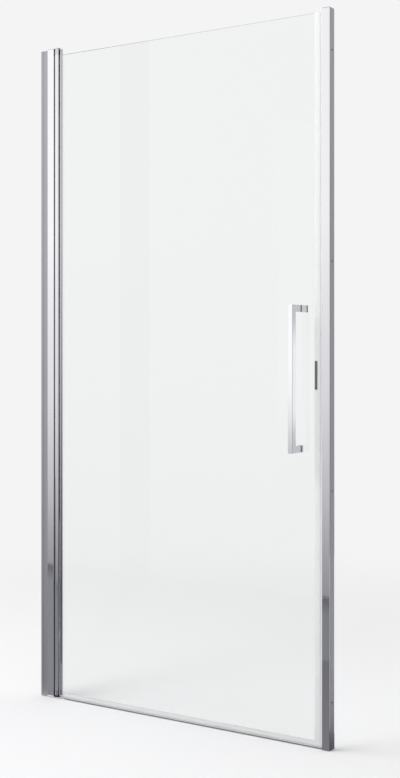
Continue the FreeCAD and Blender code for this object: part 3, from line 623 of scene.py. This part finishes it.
def columnOutline():
    pocket, reach = column["pocketHalf"], spanOf("pivot_column")[3]
    rootY, edgeY = -pocket - column["lipRoot"], -pocket - column["lipEdge"]
    slope = (edgeY - rootY) / (reach - pivotX)
    # where the lip's front line leaves the round part
    a, b = 1 + slope * slope, 2 * slope * (rootY - pivotY)
    c = (rootY - pivotY) ** 2 - column["radius"] ** 2
    dx = (-b + math.sqrt(b * b - 4 * a * c)) / (2 * a)
    dy = rootY - pivotY + slope * dx
    floorX, webX = pivotX + column["pocketFloor"], pivotX - column["webPast"]
    rearY = pivotY + math.sqrt(column["radius"] ** 2 - column["webPast"] ** 2)
    flat = column["lipFlat"]
    corners = roundedOutline([
        (reach - flat, edgeY - flat * slope, 0.0), (reach, edgeY, column["lipCorner"]),
        (reach, -pocket, column["lipRear"]), (floorX, -pocket, 0.0),
        (floorX, pocket, column["pocketEdge"]), (webX, pocket, column["webEdge"]), (webX, rearY, 0.0),
    ])
    start = math.atan2(rearY - pivotY, -column["webPast"])
    end = math.tau + math.atan2(dy, dx)
    sweep = arcPoints((pivotX, pivotY), column["radius"], start, end, column["steps"])
    return corners + sweep[1:]


def makePivotColumn():
    port = {"radius": 1.3, "depth": 24.0}
    stripHole = {"radius": 1.55, "start": -1.8, "length": 7.0}
    z0, z1 = spanOf("pivot_column")[2::3]
    loops = [columnOutline(), circle(pivotX, pivotY, column["bore"])]
    piece = pulled("pivotColumn", loops, z0, z1, brightAluminium)
    ends, length = (z0 - past, z1 - port["depth"]), port["depth"] + past
    drill = [rod((*middleOf("column_cap_screws"), z), (0, 0, 1), port["radius"], length) for z in ends]
    places = [(middleOf("clamp_strip_screws")[0], stripHole["start"], z) for z in stripHeights]
    drill += [rod(place, (0, 1, 0), stripHole["radius"], stripHole["length"]) for place in places]
    combine(piece, drill)
    finished(piece, "door", "bright_aluminium", "pivot_column")


strip = {"screws": 7, "end": 2.8, "slant": 2.4, "corner": 0.6, "front": 0.15}
sinkHole = {"shank": 1.55, "top": 3.25, "sink": 1.7, "length": 6.0, "above": 0.2}
stripSpan = spanOf("clamp_strip_screws")
stripLow, stripHigh = stripSpan[2] + strip["end"], stripSpan[5] - strip["end"]
stripStep = (stripHigh - stripLow) / (strip["screws"] - 1)
stripHeights = [stripLow + i * stripStep for i in range(strip["screws"])]


def makeGlassClampStrip():
    x0, y0, z0, x1, y1, z1 = spanOf("glass_clamp_strip")
    front, corner = strip["front"], strip["corner"]
    outline = [(x0, y0, front), (x1, y0, front), (x1 - strip["slant"], y1, corner), (x0, y1, corner)]
    piece = pulled("glassClampStrip", [roundedOutline(outline)], z0, z1, brightAluminium)
    shank, length = sinkHole["shank"], sinkHole["length"]
    sunk = [(0.0, 0.0), (sinkHole["top"], 0.0), (shank, sinkHole["sink"]), (shank, length), (0.0, length)]
    places = [(middleOf("clamp_strip_screws")[0], y1 + sinkHole["above"], z) for z in stripHeights]
    drill = [placed(turned("sink", sunk, satinAluminium, cutterSides), place, (0, -1, 0)) for place in places]
    combine(piece, drill)
    finished(piece, "door", "bright_aluminium", "glass_clamp_strip")


makePivotColumn()
makeGlassClampStrip()
print("pivot column and strip made")


# Seals, gasket, magnets and the threshold bar

def profilePiece(node, outline, low, high, material, body, slot, along="Z", holes=(), shadow=True):
    # a pulled profile that needs no drilling
    piece = pulled(nameOf(node), [roundedOutline(outline), *holes], low, high, material, along)
    piece.visible_shadow = shadow
    finished(piece, body, slot, node)


def makeGlassGasket():
    edge = 0.2
    x0, y0, z0, x1, y1, z1 = spanOf("glass_gasket")
    glassX, glassHalf = spanOf("glass_panel")[0], spanOf("glass_panel")[4]
    rearX = spanOf("glass_clamp_strip")[3]
    outline = [
        (x0, y0, 0.0), (x1, y0, edge), (x1, -glassHalf, edge), (glassX, -glassHalf, 0.0),
        (glassX, glassHalf, 0.0), (rearX, glassHalf, edge), (rearX, y1, edge), (x0, y1, 0.0),
    ]
    profilePiece("glass_gasket", outline, z0, z1, greyRubber, "door", "grey_rubber")


def makeHingeGapSeal():
    seal = {"depth": 0.9, "lipHalf": 0.8, "tip": 0.75, "edge": 0.2}
    x0, y0, z0, x1, y1, z1 = spanOf("hinge_gap_seal")
    middle, faceX = (y0 + y1) / 2, x0 + seal["depth"]
    low, high, edge = middle - seal["lipHalf"], middle + seal["lipHalf"], seal["edge"]
    outline = [
        (x0, y0, edge), (faceX, y0, edge), (faceX, low, edge), (x1, low, seal["tip"]),
        (x1, high, seal["tip"]), (faceX, high, edge), (faceX, y1, edge), (x0, y1, edge),
    ]
    profilePiece("hinge_gap_seal", outline, z0, z1, blackRubber, "frame", "dark_rubber")


def makeThresholdBar():
    bar = {"chamfer": 1.5, "edge": 0.35}
    x0, y0, z0, x1, y1, z1 = spanOf("threshold_bar")
    outline = [
        (y0, z0, 0.0), (y1, z0, 0.0), (y1, z1, bar["edge"]),
        (y0 + bar["chamfer"], z1, bar["edge"]), (y0, z1 - bar["chamfer"], bar["edge"]),
    ]
    profilePiece("threshold_bar", outline, x0, x1, satinBar, "frame", "satin_aluminium", "X")


def makeBottomSeal():
    seal = {
        "wall": 0.9, "fin": 0.8, "rim": 0.4, "edge": 0.3,
        "clipHalf": 3.95, "inner": 3.05, "floor": 8.95, "drop": 2.1,
    }
    x0, _, z0, x1, y1, z1 = spanOf("bottom_seal")
    clip, inner, floor = seal["clipHalf"], seal["inner"], seal["floor"]
    base, fin, rim, edge = floor - seal["wall"], seal["fin"], seal["rim"], seal["edge"]
    outline = [
        (-clip, z0, edge), (-clip + fin, z0, edge), (-clip + fin, base, edge), (clip, base, edge),
        (y1, base - seal["drop"], edge), (y1, base - seal["drop"] + fin, edge), (clip, base + fin, edge),
        (clip, z1, rim), (inner, z1, rim), (inner, floor, 0.0),
        (-inner, floor, 0.0), (-inner, z1, rim), (-clip, z1, rim),
    ]
    profilePiece("bottom_seal", outline, x0, x1, clearPvc, "door", "clear_pvc", "X", shadow=False)


# hollow part that holds a magnet, the same on both carriers
chamber = {"wall": 0.8, "corner": 0.7, "inside": 0.3, "width": 6.6, "outer": 4.0}


def chamberHole(left):
    low, high = left + chamber["wall"], left + chamber["width"] - chamber["wall"]
    half = chamber["outer"] - chamber["wall"]
    return roundedOutline(rectangle(low, -half, high, half, chamber["inside"]))


def makeEdgeSealCarrier():
    grip = {"clip": 3.95, "inner": 3.05, "rim": 0.35, "step": 0.4, "glassGap": 0.05}
    x0, _, z0, x1, _, z1 = spanOf("edge_seal_carrier")
    left, outer, corner = x1 - chamber["width"], chamber["outer"], chamber["corner"]
    clip, inner, rim, stepX = grip["clip"], grip["inner"], grip["rim"], left - grip["step"]
    glassX = spanOf("glass_panel")[3] + grip["glassGap"]
    outline = [
        (x0, -clip, rim), (stepX, -clip, 0.0), (left, -outer, 0.0), (x1, -outer, corner),
        (x1, outer, corner), (left, outer, 0.0), (stepX, clip, 0.0), (x0, clip, rim),
        (x0, inner, rim), (glassX, inner, 0.0), (glassX, -inner, 0.0), (x0, -inner, rim),
    ]
    holes, slot = [chamberHole(left)], "clear_pvc"
    profilePiece("edge_seal_carrier", outline, z0, z1, clearPvc, "door", slot, holes=holes, shadow=False)


def makeStrikeSealCarrier():
    foot = {"neck": 3.0, "half": 4.5, "thick": 1.9, "shoulder": 0.3, "edge": 0.2}
    x0, _, z0, x1, _, z1 = spanOf("strike_seal_carrier")
    right, footX, outer, edge = x0 + chamber["width"], x1 - foot["thick"], chamber["outer"], foot["edge"]
    side = [
        (x0, -outer, chamber["corner"]), (right, -outer, foot["shoulder"]), (right, -foot["neck"], 0.0),
        (footX, -foot["neck"], 0.0), (footX, -foot["half"], edge), (x1, -foot["half"], edge),
    ]
    outline, holes, slot = mirrored(side), [chamberHole(x0)], "clear_pvc"
    profilePiece("strike_seal_carrier", outline, z0, z1, clearPvc, "frame", slot, holes=holes, shadow=False)


def makeMagnetStrip(node, body):
    edge = 0.4
    x0, y0, z0, x1, y1, z1 = spanOf(node)
    profilePiece(node, rectangle(x0, y0, x1, y1, edge), z0, z1, magnetRubber, body, "magnet_strip")


makeGlassGasket()
makeHingeGapSeal()
makeThresholdBar()
makeBottomSeal()
makeEdgeSealCarrier()
makeStrikeSealCarrier()
makeMagnetStrip("edge_magnet_strip", "door")
makeMagnetStrip("strike_magnet_strip", "frame")
print("seals and threshold made")


# Fasteners: one of each kind is modelled, then repeated in rows

def makeScrew(shank, length, profile, socket):
    # points down from z 0, the head's top; the profile is the head's, from top to shank
    tip, hexagon = {"length": 0.6, "cut": 0.5}, {"depth": 1.0, "above": 0.5}
    point = [(shank, -length + tip["length"]), (shank - tip["cut"], -length), (0.0, -length)]
    screw = turned("screw", [(0.0, 0.0), *profile, *point], turnedSteel)
    depth, above = hexagon["depth"], hexagon["above"]
    flats = [(0.0, -depth), (socket, -depth), (socket, above), (0.0, above)]
    return combine(screw, [turned("hexagon", flats, turnedSteel, 6)])


def panScrew(sizes):
    head, height, shank = sizes["head"], sizes["height"], sizes["shank"]
    profile = [(head - sizes["round"], 0.0), (head, -sizes["round"]), (head, -height), (shank, -height)]
    return makeScrew(shank, height + sizes["grip"], profile, sizes["socket"])


def sunkScrew(sizes, length):
    profile = [(sizes["head"], 0.0), (sizes["shank"], -sizes["sink"])]
    return makeScrew(sizes["shank"], length, profile, sizes["socket"])


def rowOf(node, fastener, rows, material):
    # each row is a first place, a step, a count and the way that the head looks, in millimetres
    name, parts = nameOf(node), []
    for first, step, count, facing in rows:
        part = link(name, bpy.data.meshes.new(name), material)
        modifier = part.modifiers.new("row", "NODES")
        modifier.node_group = fastenerRow
        turn = wayOf["Z"].rotation_difference(Vector(facing)).to_euler()
        setInputs(modifier, {
            "Fastener": fastener, "Count": count, "First": Vector(first) * mm,
            "Step": Vector(step) * mm, "Turn": turn, "Material": material,
        })
        parts.append(settle(part))
    bpy.data.objects.remove(fastener)
    return joinedPiece(name, parts)


def clampRow(node):
    # the clamp screws and their caps stand at the same heights
    first = (middleOf(node)[0], spanOf(node)[4], clampHeights[0])
    step = (0, 0, clampHeights[1] - clampHeights[0])
    return [(first, step, len(clampHeights), (0, 1, 0))]


def makeClampScrews(node):
    sizes = {"head": clampHead, "round": 0.6, "height": 1.6, "shank": 1.75, "grip": 4.0, "socket": 1.35}
    piece = rowOf(node, panScrew(sizes), clampRow(node), turnedSteel)
    finished(piece, "frame", "stainless_steel", node)


def makeScrewCaps(node):
    cap = {"radius": 5.0, "height": 3.0, "wall": 0.8, "edge": 1.1, "steps": 6}
    radius, height, wall, edge = cap["radius"], cap["height"], cap["wall"], cap["edge"]
    dome = arcPoints((radius - edge, -edge), edge, math.pi / 2, 0.0, cap["steps"])
    inside = [(radius - wall, -height), (radius - wall, -wall), (0.0, -wall)]
    screwCap = turned("cap", [(0.0, 0.0), *dome, (radius, -height), *inside], greyPlastic)
    piece = rowOf(node, screwCap, clampRow(node), greyPlastic)
    finished(piece, "frame", "grey_plastic", node)


def makeStripScrews():
    sizes = {"head": 2.8, "shank": 1.5, "sink": 1.5, "socket": 1.3}
    y0, y1 = stripSpan[1::3]
    first = (middleOf("clamp_strip_screws")[0], y1, stripLow)
    rows = [(first, (0, 0, stripStep), strip["screws"], (0, 1, 0))]
    piece = rowOf("clamp_strip_screws", sunkScrew(sizes, y1 - y0), rows, turnedSteel)
    finished(piece, "door", "stainless_steel", "clamp_strip_screws")


def makeBracketScrews():
    sizes = {"head": 3.6, "shank": 1.9, "sink": 1.9, "length": 22.0, "spacing": 12.0, "socket": 1.3}
    z0, z1 = spanOf("bracket_screws")[2::3]
    x, y = middleOf("bracket_screws")[0], -sizes["spacing"] / 2
    step = (0, sizes["spacing"], 0)
    rows = [((x, y, z1), step, 2, (0, 0, 1)), ((x, y, z0), step, 2, (0, 0, -1))]
    piece = rowOf("bracket_screws", sunkScrew(sizes, sizes["length"]), rows, turnedSteel)
    finished(piece, "frame", "stainless_steel", "bracket_screws")


def makeColumnCapScrews():
    sizes = {"head": 2.1, "round": 0.2, "height": 1.6, "shank": 1.25, "grip": 24.0, "socket": 1.2}
    z0, z1 = spanOf("column_cap_screws")[2::3]
    x, y = middleOf("column_cap_screws")
    rows = [((x, y, z1), (0, 0, 1), 1, (0, 0, 1)), ((x, y, z0), (0, 0, 1), 1, (0, 0, -1))]
    piece = rowOf("column_cap_screws", panScrew(sizes), rows, turnedSteel)
    finished(piece, "door", "stainless_steel", "column_cap_screws")


makeClampScrews("post_clamp_screws")
makeClampScrews("strike_clamp_screws")
makeScrewCaps("post_screw_caps")
makeScrewCaps("strike_screw_caps")
makeStripScrews()
makeBracketScrews()
makeColumnCapScrews()
print("fasteners made")


# Turned parts on the pivot axis

def makePin(node):
    x0, _, z0, x1, _, z1 = spanOf(node)
    radius, length, chamfer = (x1 - x0) / 2, z1 - z0, 0.5
    profile = [
        (0.0, 0.0), (radius - chamfer, 0.0), (radius, chamfer),
        (radius, length - chamfer), (radius - chamfer, length), (0.0, length),
    ]
    piece = placed(turned(nameOf(node), profile, turnedSteel), (pivotX, pivotY, z0))
    finished(piece, "frame", "stainless_steel", node)


def makeBush(node, flange, flangeAbove, material, slot):
    # a flanged sleeve; the flange is above the body at the top pivot and below it at the foot
    bush = {"body": 4.65, "bore": 3.05, "edge": 0.3}
    x0, _, z0, x1, _, z1 = spanOf(node)
    radius, body, bore, edge = (x1 - x0) / 2, bush["body"], bush["bore"], bush["edge"]
    step = z1 - flange if flangeAbove else z0 + flange
    below, above = (body, radius) if flangeAbove else (radius, body)
    profile = [
        (bore, z0), (below - edge, z0), (below, z0 + edge), (below, step),
        (above, step), (above, z1 - edge), (above - edge, z1), (bore, z1),
    ]
    piece = placed(turned(nameOf(node), profile, material), (pivotX, pivotY, 0.0))
    finished(piece, "door", slot, node)


makePin("top_pivot_pin")
makePin("bottom_pivot_pin")
makeBush("top_pivot_bush", 0.8, True, whiteAcetal, "white_acetal")
makeBush("bottom_pivot_bush", 5.0, False, blackAcetal, "black_acetal")


# Cast, moulded and machined blocks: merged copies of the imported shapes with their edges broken.
# Each row ends with the width of the broken edge, or 0 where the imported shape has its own.

blocks = [
    ("top_pivot_bracket", "frame", "polished_steel", polishedSteel, 0.25),
    ("bottom_pivot_bracket", "frame", "polished_steel", polishedSteel, 0.25),
    ("hinge_channel_cap", "frame", "grey_plastic", greyPlastic, 0.3),
    ("strike_post_cap", "frame", "grey_plastic", greyPlastic, 0.3),
    ("top_column_cap", "door", "chromed_zinc", chromeOnZinc, 0.2),
    ("bottom_column_cap", "door", "chromed_zinc", chromeOnZinc, 0.2),
    ("edge_plate", "door", "dark_plate", platedPlate, 0.2),
    ("handle_bow", "door", "chromed_brass", bowChromeWithPaintedSides, 0.0),
    ("inner_knob", "door", "chromed_brass", chromeOnBrass, 0.2),
    ("inner_knob_cap", "door", "black_acetal", blackAcetal, 0.0),
    ("lower_rose", "door", "chromed_brass", chromeOnBrass, 0.0),
    ("handle_outer_washers", "door", "dark_rubber", blackRubber, 0.15),
    ("handle_inner_washers", "door", "dark_rubber", blackRubber, 0.15),
    ("handle_studs", "door", "stainless_steel", turnedSteel, 0.4),
    ("stud_sleeves", "door", "clear_pvc", clearPvc, 0.0),
]
for node, body, slot, material, bevel in blocks:
    finished(softCopy(node, material, bevel), body, slot, node)

glass = nodes["glass_panel"]
glass.data.materials.clear()
glass.data.materials.append(floatGlass)
glass.visible_shadow = False
print("blocks and glass made:", len(made), "pieces")


# Stage: floor, world, lamp, and cards for the reflections

stage = {
    "floor": "#f1f1f2", "backdrop": "#f4f4f5", "fadeFrom": 0.8, "fadeTo": 3.2,
    "floorRadius": 14.0, "floorSides": 96, "floorZ": -0.001, "worldLight": 0.8,
}


def makeFloor():
    # pale floor that turns into the backdrop's own tone away from the door
    material = bpy.data.materials.new("paleStudioFloor")
    tree = emptyTree(material)
    place = addNode(tree, "ShaderNodeTexCoord").outputs["Object"]
    away = addNode(tree, "ShaderNodeVectorMath", links={0: place}, operation="LENGTH").outputs["Value"]
    fade = mapRange(tree, away, stage["fadeFrom"], stage["fadeTo"], smooth=True)
    near = addNode(tree, "ShaderNodeBsdfDiffuse", inputs={"Color": linear(stage["floor"])}).outputs["BSDF"]
    tone = {"Color": linear(stage["backdrop"])}
    far = addNode(tree, "ShaderNodeEmission", inputs=tone).outputs["Emission"]
    mixed = addNode(tree, "ShaderNodeMixShader", links={0: fade, 1: near, 2: far}).outputs["Shader"]
    addNode(tree, "ShaderNodeOutputMaterial", links={"Surface": mixed})
    outline = circle(0.0, 0.0, stage["floorRadius"] / mm, stage["floorSides"])
    floor = link("studioFloor", regionMesh("studioFloor", [outline], "Z"), material)
    floor.data.transform(Matrix.Translation((0, 0, stage["floorZ"])))


def makeWorld():
    # white light for the surfaces, and the backdrop's tone wherever the world itself is seen
    world = bpy.data.worlds.new("studioWorld")
    scene.world = world
    tree = emptyTree(world)
    path = addNode(tree, "ShaderNodeLightPath").outputs
    seen = path["Is Camera Ray"]
    for kind in ("Is Glossy Ray", "Is Transmission Ray"):
        either = addNode(tree, "ShaderNodeMath", links={0: seen, 1: path[kind]}, operation="MAXIMUM")
        seen = either.outputs["Value"]
    inputs = {"Color": linear("#ffffff"), "Strength": stage["worldLight"]}
    light = addNode(tree, "ShaderNodeBackground", inputs=inputs).outputs["Background"]
    tone = {"Color": linear(stage["backdrop"])}
    shown = addNode(tree, "ShaderNodeBackground", inputs=tone).outputs["Background"]
    mixed = addNode(tree, "ShaderNodeMixShader", links={0: seen, 1: light, 2: shown}).outputs["Shader"]
    addNode(tree, "ShaderNodeOutputWorld", links={"Surface": mixed})


def makeLamp():
    # one soft lamp from above the outside; reflections don't show it
    lamp = {
        "width": 2.4, "height": 1.8, "watts": 55.0,
        "place": (-1.6, -1.4, 3.4), "target": (0.0, 0.0, 0.9),
    }
    data = bpy.data.lights.new("softTop", "AREA")
    data.shape = "RECTANGLE"
    data.size, data.size_y = lamp["width"], lamp["height"]
    data.energy = lamp["watts"]
    light = bpy.data.objects.new("softTop", data)
    scene.collection.objects.link(light)
    light.location = lamp["place"]
    way = Vector(lamp["target"]) - Vector(lamp["place"])
    light.rotation_euler = way.to_track_quat("-Z", "Y").to_euler()
    light.visible_glossy = False
    light.visible_camera = False


def card(name, corners, axis, low, high, stops, across=None, throughGlass=False):
    # a glowing card that only reflections see, or also what looks through the glass.
    # Its tone follows one axis; across gives another axis, its two ends and the strength at each.
    mesh = bpy.data.meshes.new(name)
    mesh.from_pydata(corners, [], [(0, 1, 2, 3)])
    material = bpy.data.materials.new(name)
    tree = emptyTree(material)
    place = addNode(tree, "ShaderNodeTexCoord").outputs["Object"]
    axes = addNode(tree, "ShaderNodeSeparateXYZ", links={"Vector": place}).outputs
    ramp = addNode(tree, "ShaderNodeValToRGB", links={"Fac": mapRange(tree, axes[axis], low, high)})
    steps = ramp.color_ramp.elements
    while len(steps) < len(stops):
        steps.new(0.5)
    for step, (position, colour) in zip(steps, stops):
        step.position = position
        step.color = linear(colour)
    glow = addNode(tree, "ShaderNodeEmission", links={"Color": ramp.outputs["Color"]})
    if across:
        side, *ends = across
        tree.links.new(mapRange(tree, axes[side], *ends), glow.inputs["Strength"])
    addNode(tree, "ShaderNodeOutputMaterial", links={"Surface": glow.outputs["Emission"]})
    piece = link(name, mesh, material)
    piece.visible_camera = False
    piece.visible_diffuse = False
    piece.visible_transmission = throughGlass
    piece.visible_shadow = False


def upright(x0, y0, x1, y1, height):
    # corners of an upright card over a line on the floor, in metres
    return [(x0, y0, 0.0), (x1, y1, 0.0), (x1, y1, height), (x0, y0, height)]


def level(places, z):
    return [(x, y, z) for x, y in places]


def makeCards():
    alongX, alongY, alongZ = 0, 1, 2
    wallY, top, floorZ, layer = -1.78, 3.2, -0.0006, 0.0002
    nearWallY, overFloor = wallY + 0.01, floorZ + layer

    # bright front wall with a painted shadow line where it meets the floor, greyer towards the closing side
    tones = [
        (0.0, "#1c1c1f"), (0.0022, "#1c1c1f"), (0.0026, "#97979a"), (0.05, "#a4a4a7"), (0.12, "#bebec1"),
        (0.26, "#dedee0"), (0.34, "#e6e6e8"), (0.5, "#f8f8f9"), (0.66, "#f9f9fa"),
    ]
    corners = upright(-7.0, wallY, 4.6, wallY, top)
    card("frontCard", corners, alongZ, 0.0, top, tones, (alongX, -2.0, 2.6, 1.09, 0.8))

    # narrow grey strip that the column's lip mirrors, on the wall and on the floor
    lip = {"nearX": -0.62, "nearY": -0.37, "farX": -1.42, "half": 0.085}
    nearX, farX, half = lip["nearX"], lip["farX"], lip["half"]
    tones = [(0.0, "#58585d"), (0.1, "#6a6a6f"), (0.26, "#8f8f93"), (0.5, "#b9b9bc")]
    corners = upright(farX - half, nearWallY, farX + half, nearWallY, top)
    card("lipCard", corners, alongZ, 0.0, top, tones)
    near = [(nearX + half / 3, lip["nearY"]), (nearX - half / 3, lip["nearY"])]
    corners = level([(farX - half, wallY), (farX + half, wallY), *near], overFloor)
    card("lipFloorCard", corners, alongY, wallY, 0.0, [(0.0, "#505056"), (1.0, "#66666c")])

    # white strip of the wall that the handle's front mirrors, greyer towards the floor
    handle = {"left": -0.66, "right": -0.5, "height": 2.0, "low": 0.3, "high": 1.7, "strength": 1.1}
    tones = [
        (0.0, "#a4a4a7"), (0.2, "#bebebf"), (0.236, "#c9c9ca"), (0.304, "#e0e0e1"),
        (0.394, "#f4f4f5"), (0.5, "#fcfcfd"), (1.0, "#ffffff"),
    ]
    corners = upright(handle["left"], nearWallY, handle["right"], nearWallY, handle["height"])
    even = (alongX, handle["left"], handle["right"], handle["strength"], handle["strength"])
    card("handleCard", corners, alongZ, handle["low"], handle["high"], tones, even)

    # black flags beside the opening and dark floor before them: the black line on the column's flank
    black = [(0.0, "#050505"), (1.0, "#050505")]
    flagX, flagNearY, flagFarY, flagTop = 1.5, -1.05, 0.26, 2.7
    farFlagX, farFlagTop = 3.4, 3.1
    card("sideFlag", upright(flagX, flagNearY, flagX, flagFarY, flagTop), alongZ, 0.0, flagTop, black)
    corners = upright(farFlagX, -0.05, farFlagX, 1.25, farFlagTop)
    card("farFlag", corners, alongZ, 0.0, farFlagTop, black, throughGlass=True)
    corners = level([(0.6, 0.02), (farFlagX, 0.02), (farFlagX, 0.56), (0.6, 0.16)], overFloor)
    card("farFloorCard", corners, alongX, 0.6, farFlagX, black, throughGlass=True)
    corners = level([(-0.4, -0.05), (flagX, flagNearY), (flagX, flagFarY), (-0.4, 0.0)], overFloor)
    tones = [(0.0, "#3c3c40"), (0.4, "#38383c"), (1.0, "#1c1c1f")]
    card("sideFloorCard", corners, alongX, -0.4, flagX, tones)

    # lighter strip over it, which the foot of the strike post mirrors
    corners = level([(0.0, -0.85), (0.09, -0.85), (0.5, -0.015), (0.44, -0.015)], overFloor + layer)
    card("postFloorCard", corners, alongY, -0.85, 0.0, [(0.0, "#707075"), (1.0, "#7a7a7f")])

    # grey floor in front, with painted shade that is darkest at the wall
    corners = level([(-7.0, wallY), (3.0, wallY), (3.0, -0.03), (-7.0, -0.03)], floorZ)
    tones = [(0.0, "#56565b"), (0.05, "#77777c"), (0.16, "#8a8a90"), (1.0, "#909096")]
    card("floorCard", corners, alongY, wallY, 0.0, tones, (alongX, -1.6, 0.2, 1.0, 0.82))

    # pale card behind, for the handle's side and the rear faces
    rearTop = 3.0
    tones = [(0.0, "#9c9ca0"), (0.3, "#cfcfd2"), (0.8, "#e4e4e6")]
    card("rearCard", upright(3.4, 1.9, 0.9, 3.3, rearTop), alongZ, 0.0, rearTop, tones)


def makeCamera():
    # the photo's viewpoint, in metres, degrees and millimetres of lens
    view = {
        "place": (1.9475, -2.903, 1.0375), "heading": 32.8,
        "lens": 57.42, "sensor": 36.0, "shiftY": -0.0483, "clip": (0.05, 60.0),
    }
    data = bpy.data.cameras.new("photoCamera")
    data.lens = view["lens"]
    data.sensor_width = view["sensor"]
    data.shift_y = view["shiftY"]
    data.clip_start, data.clip_end = view["clip"]
    camera = bpy.data.objects.new("photoCamera", data)
    scene.collection.objects.link(camera)
    camera.location = view["place"]
    camera.rotation_euler = (math.radians(90), 0.0, math.radians(view["heading"]))
    scene.camera = camera


makeFloor()
makeWorld()
makeLamp()
makeCards()
makeCamera()
bpy.context.scene.view_settings.view_transform = "Standard"
print("stage made")
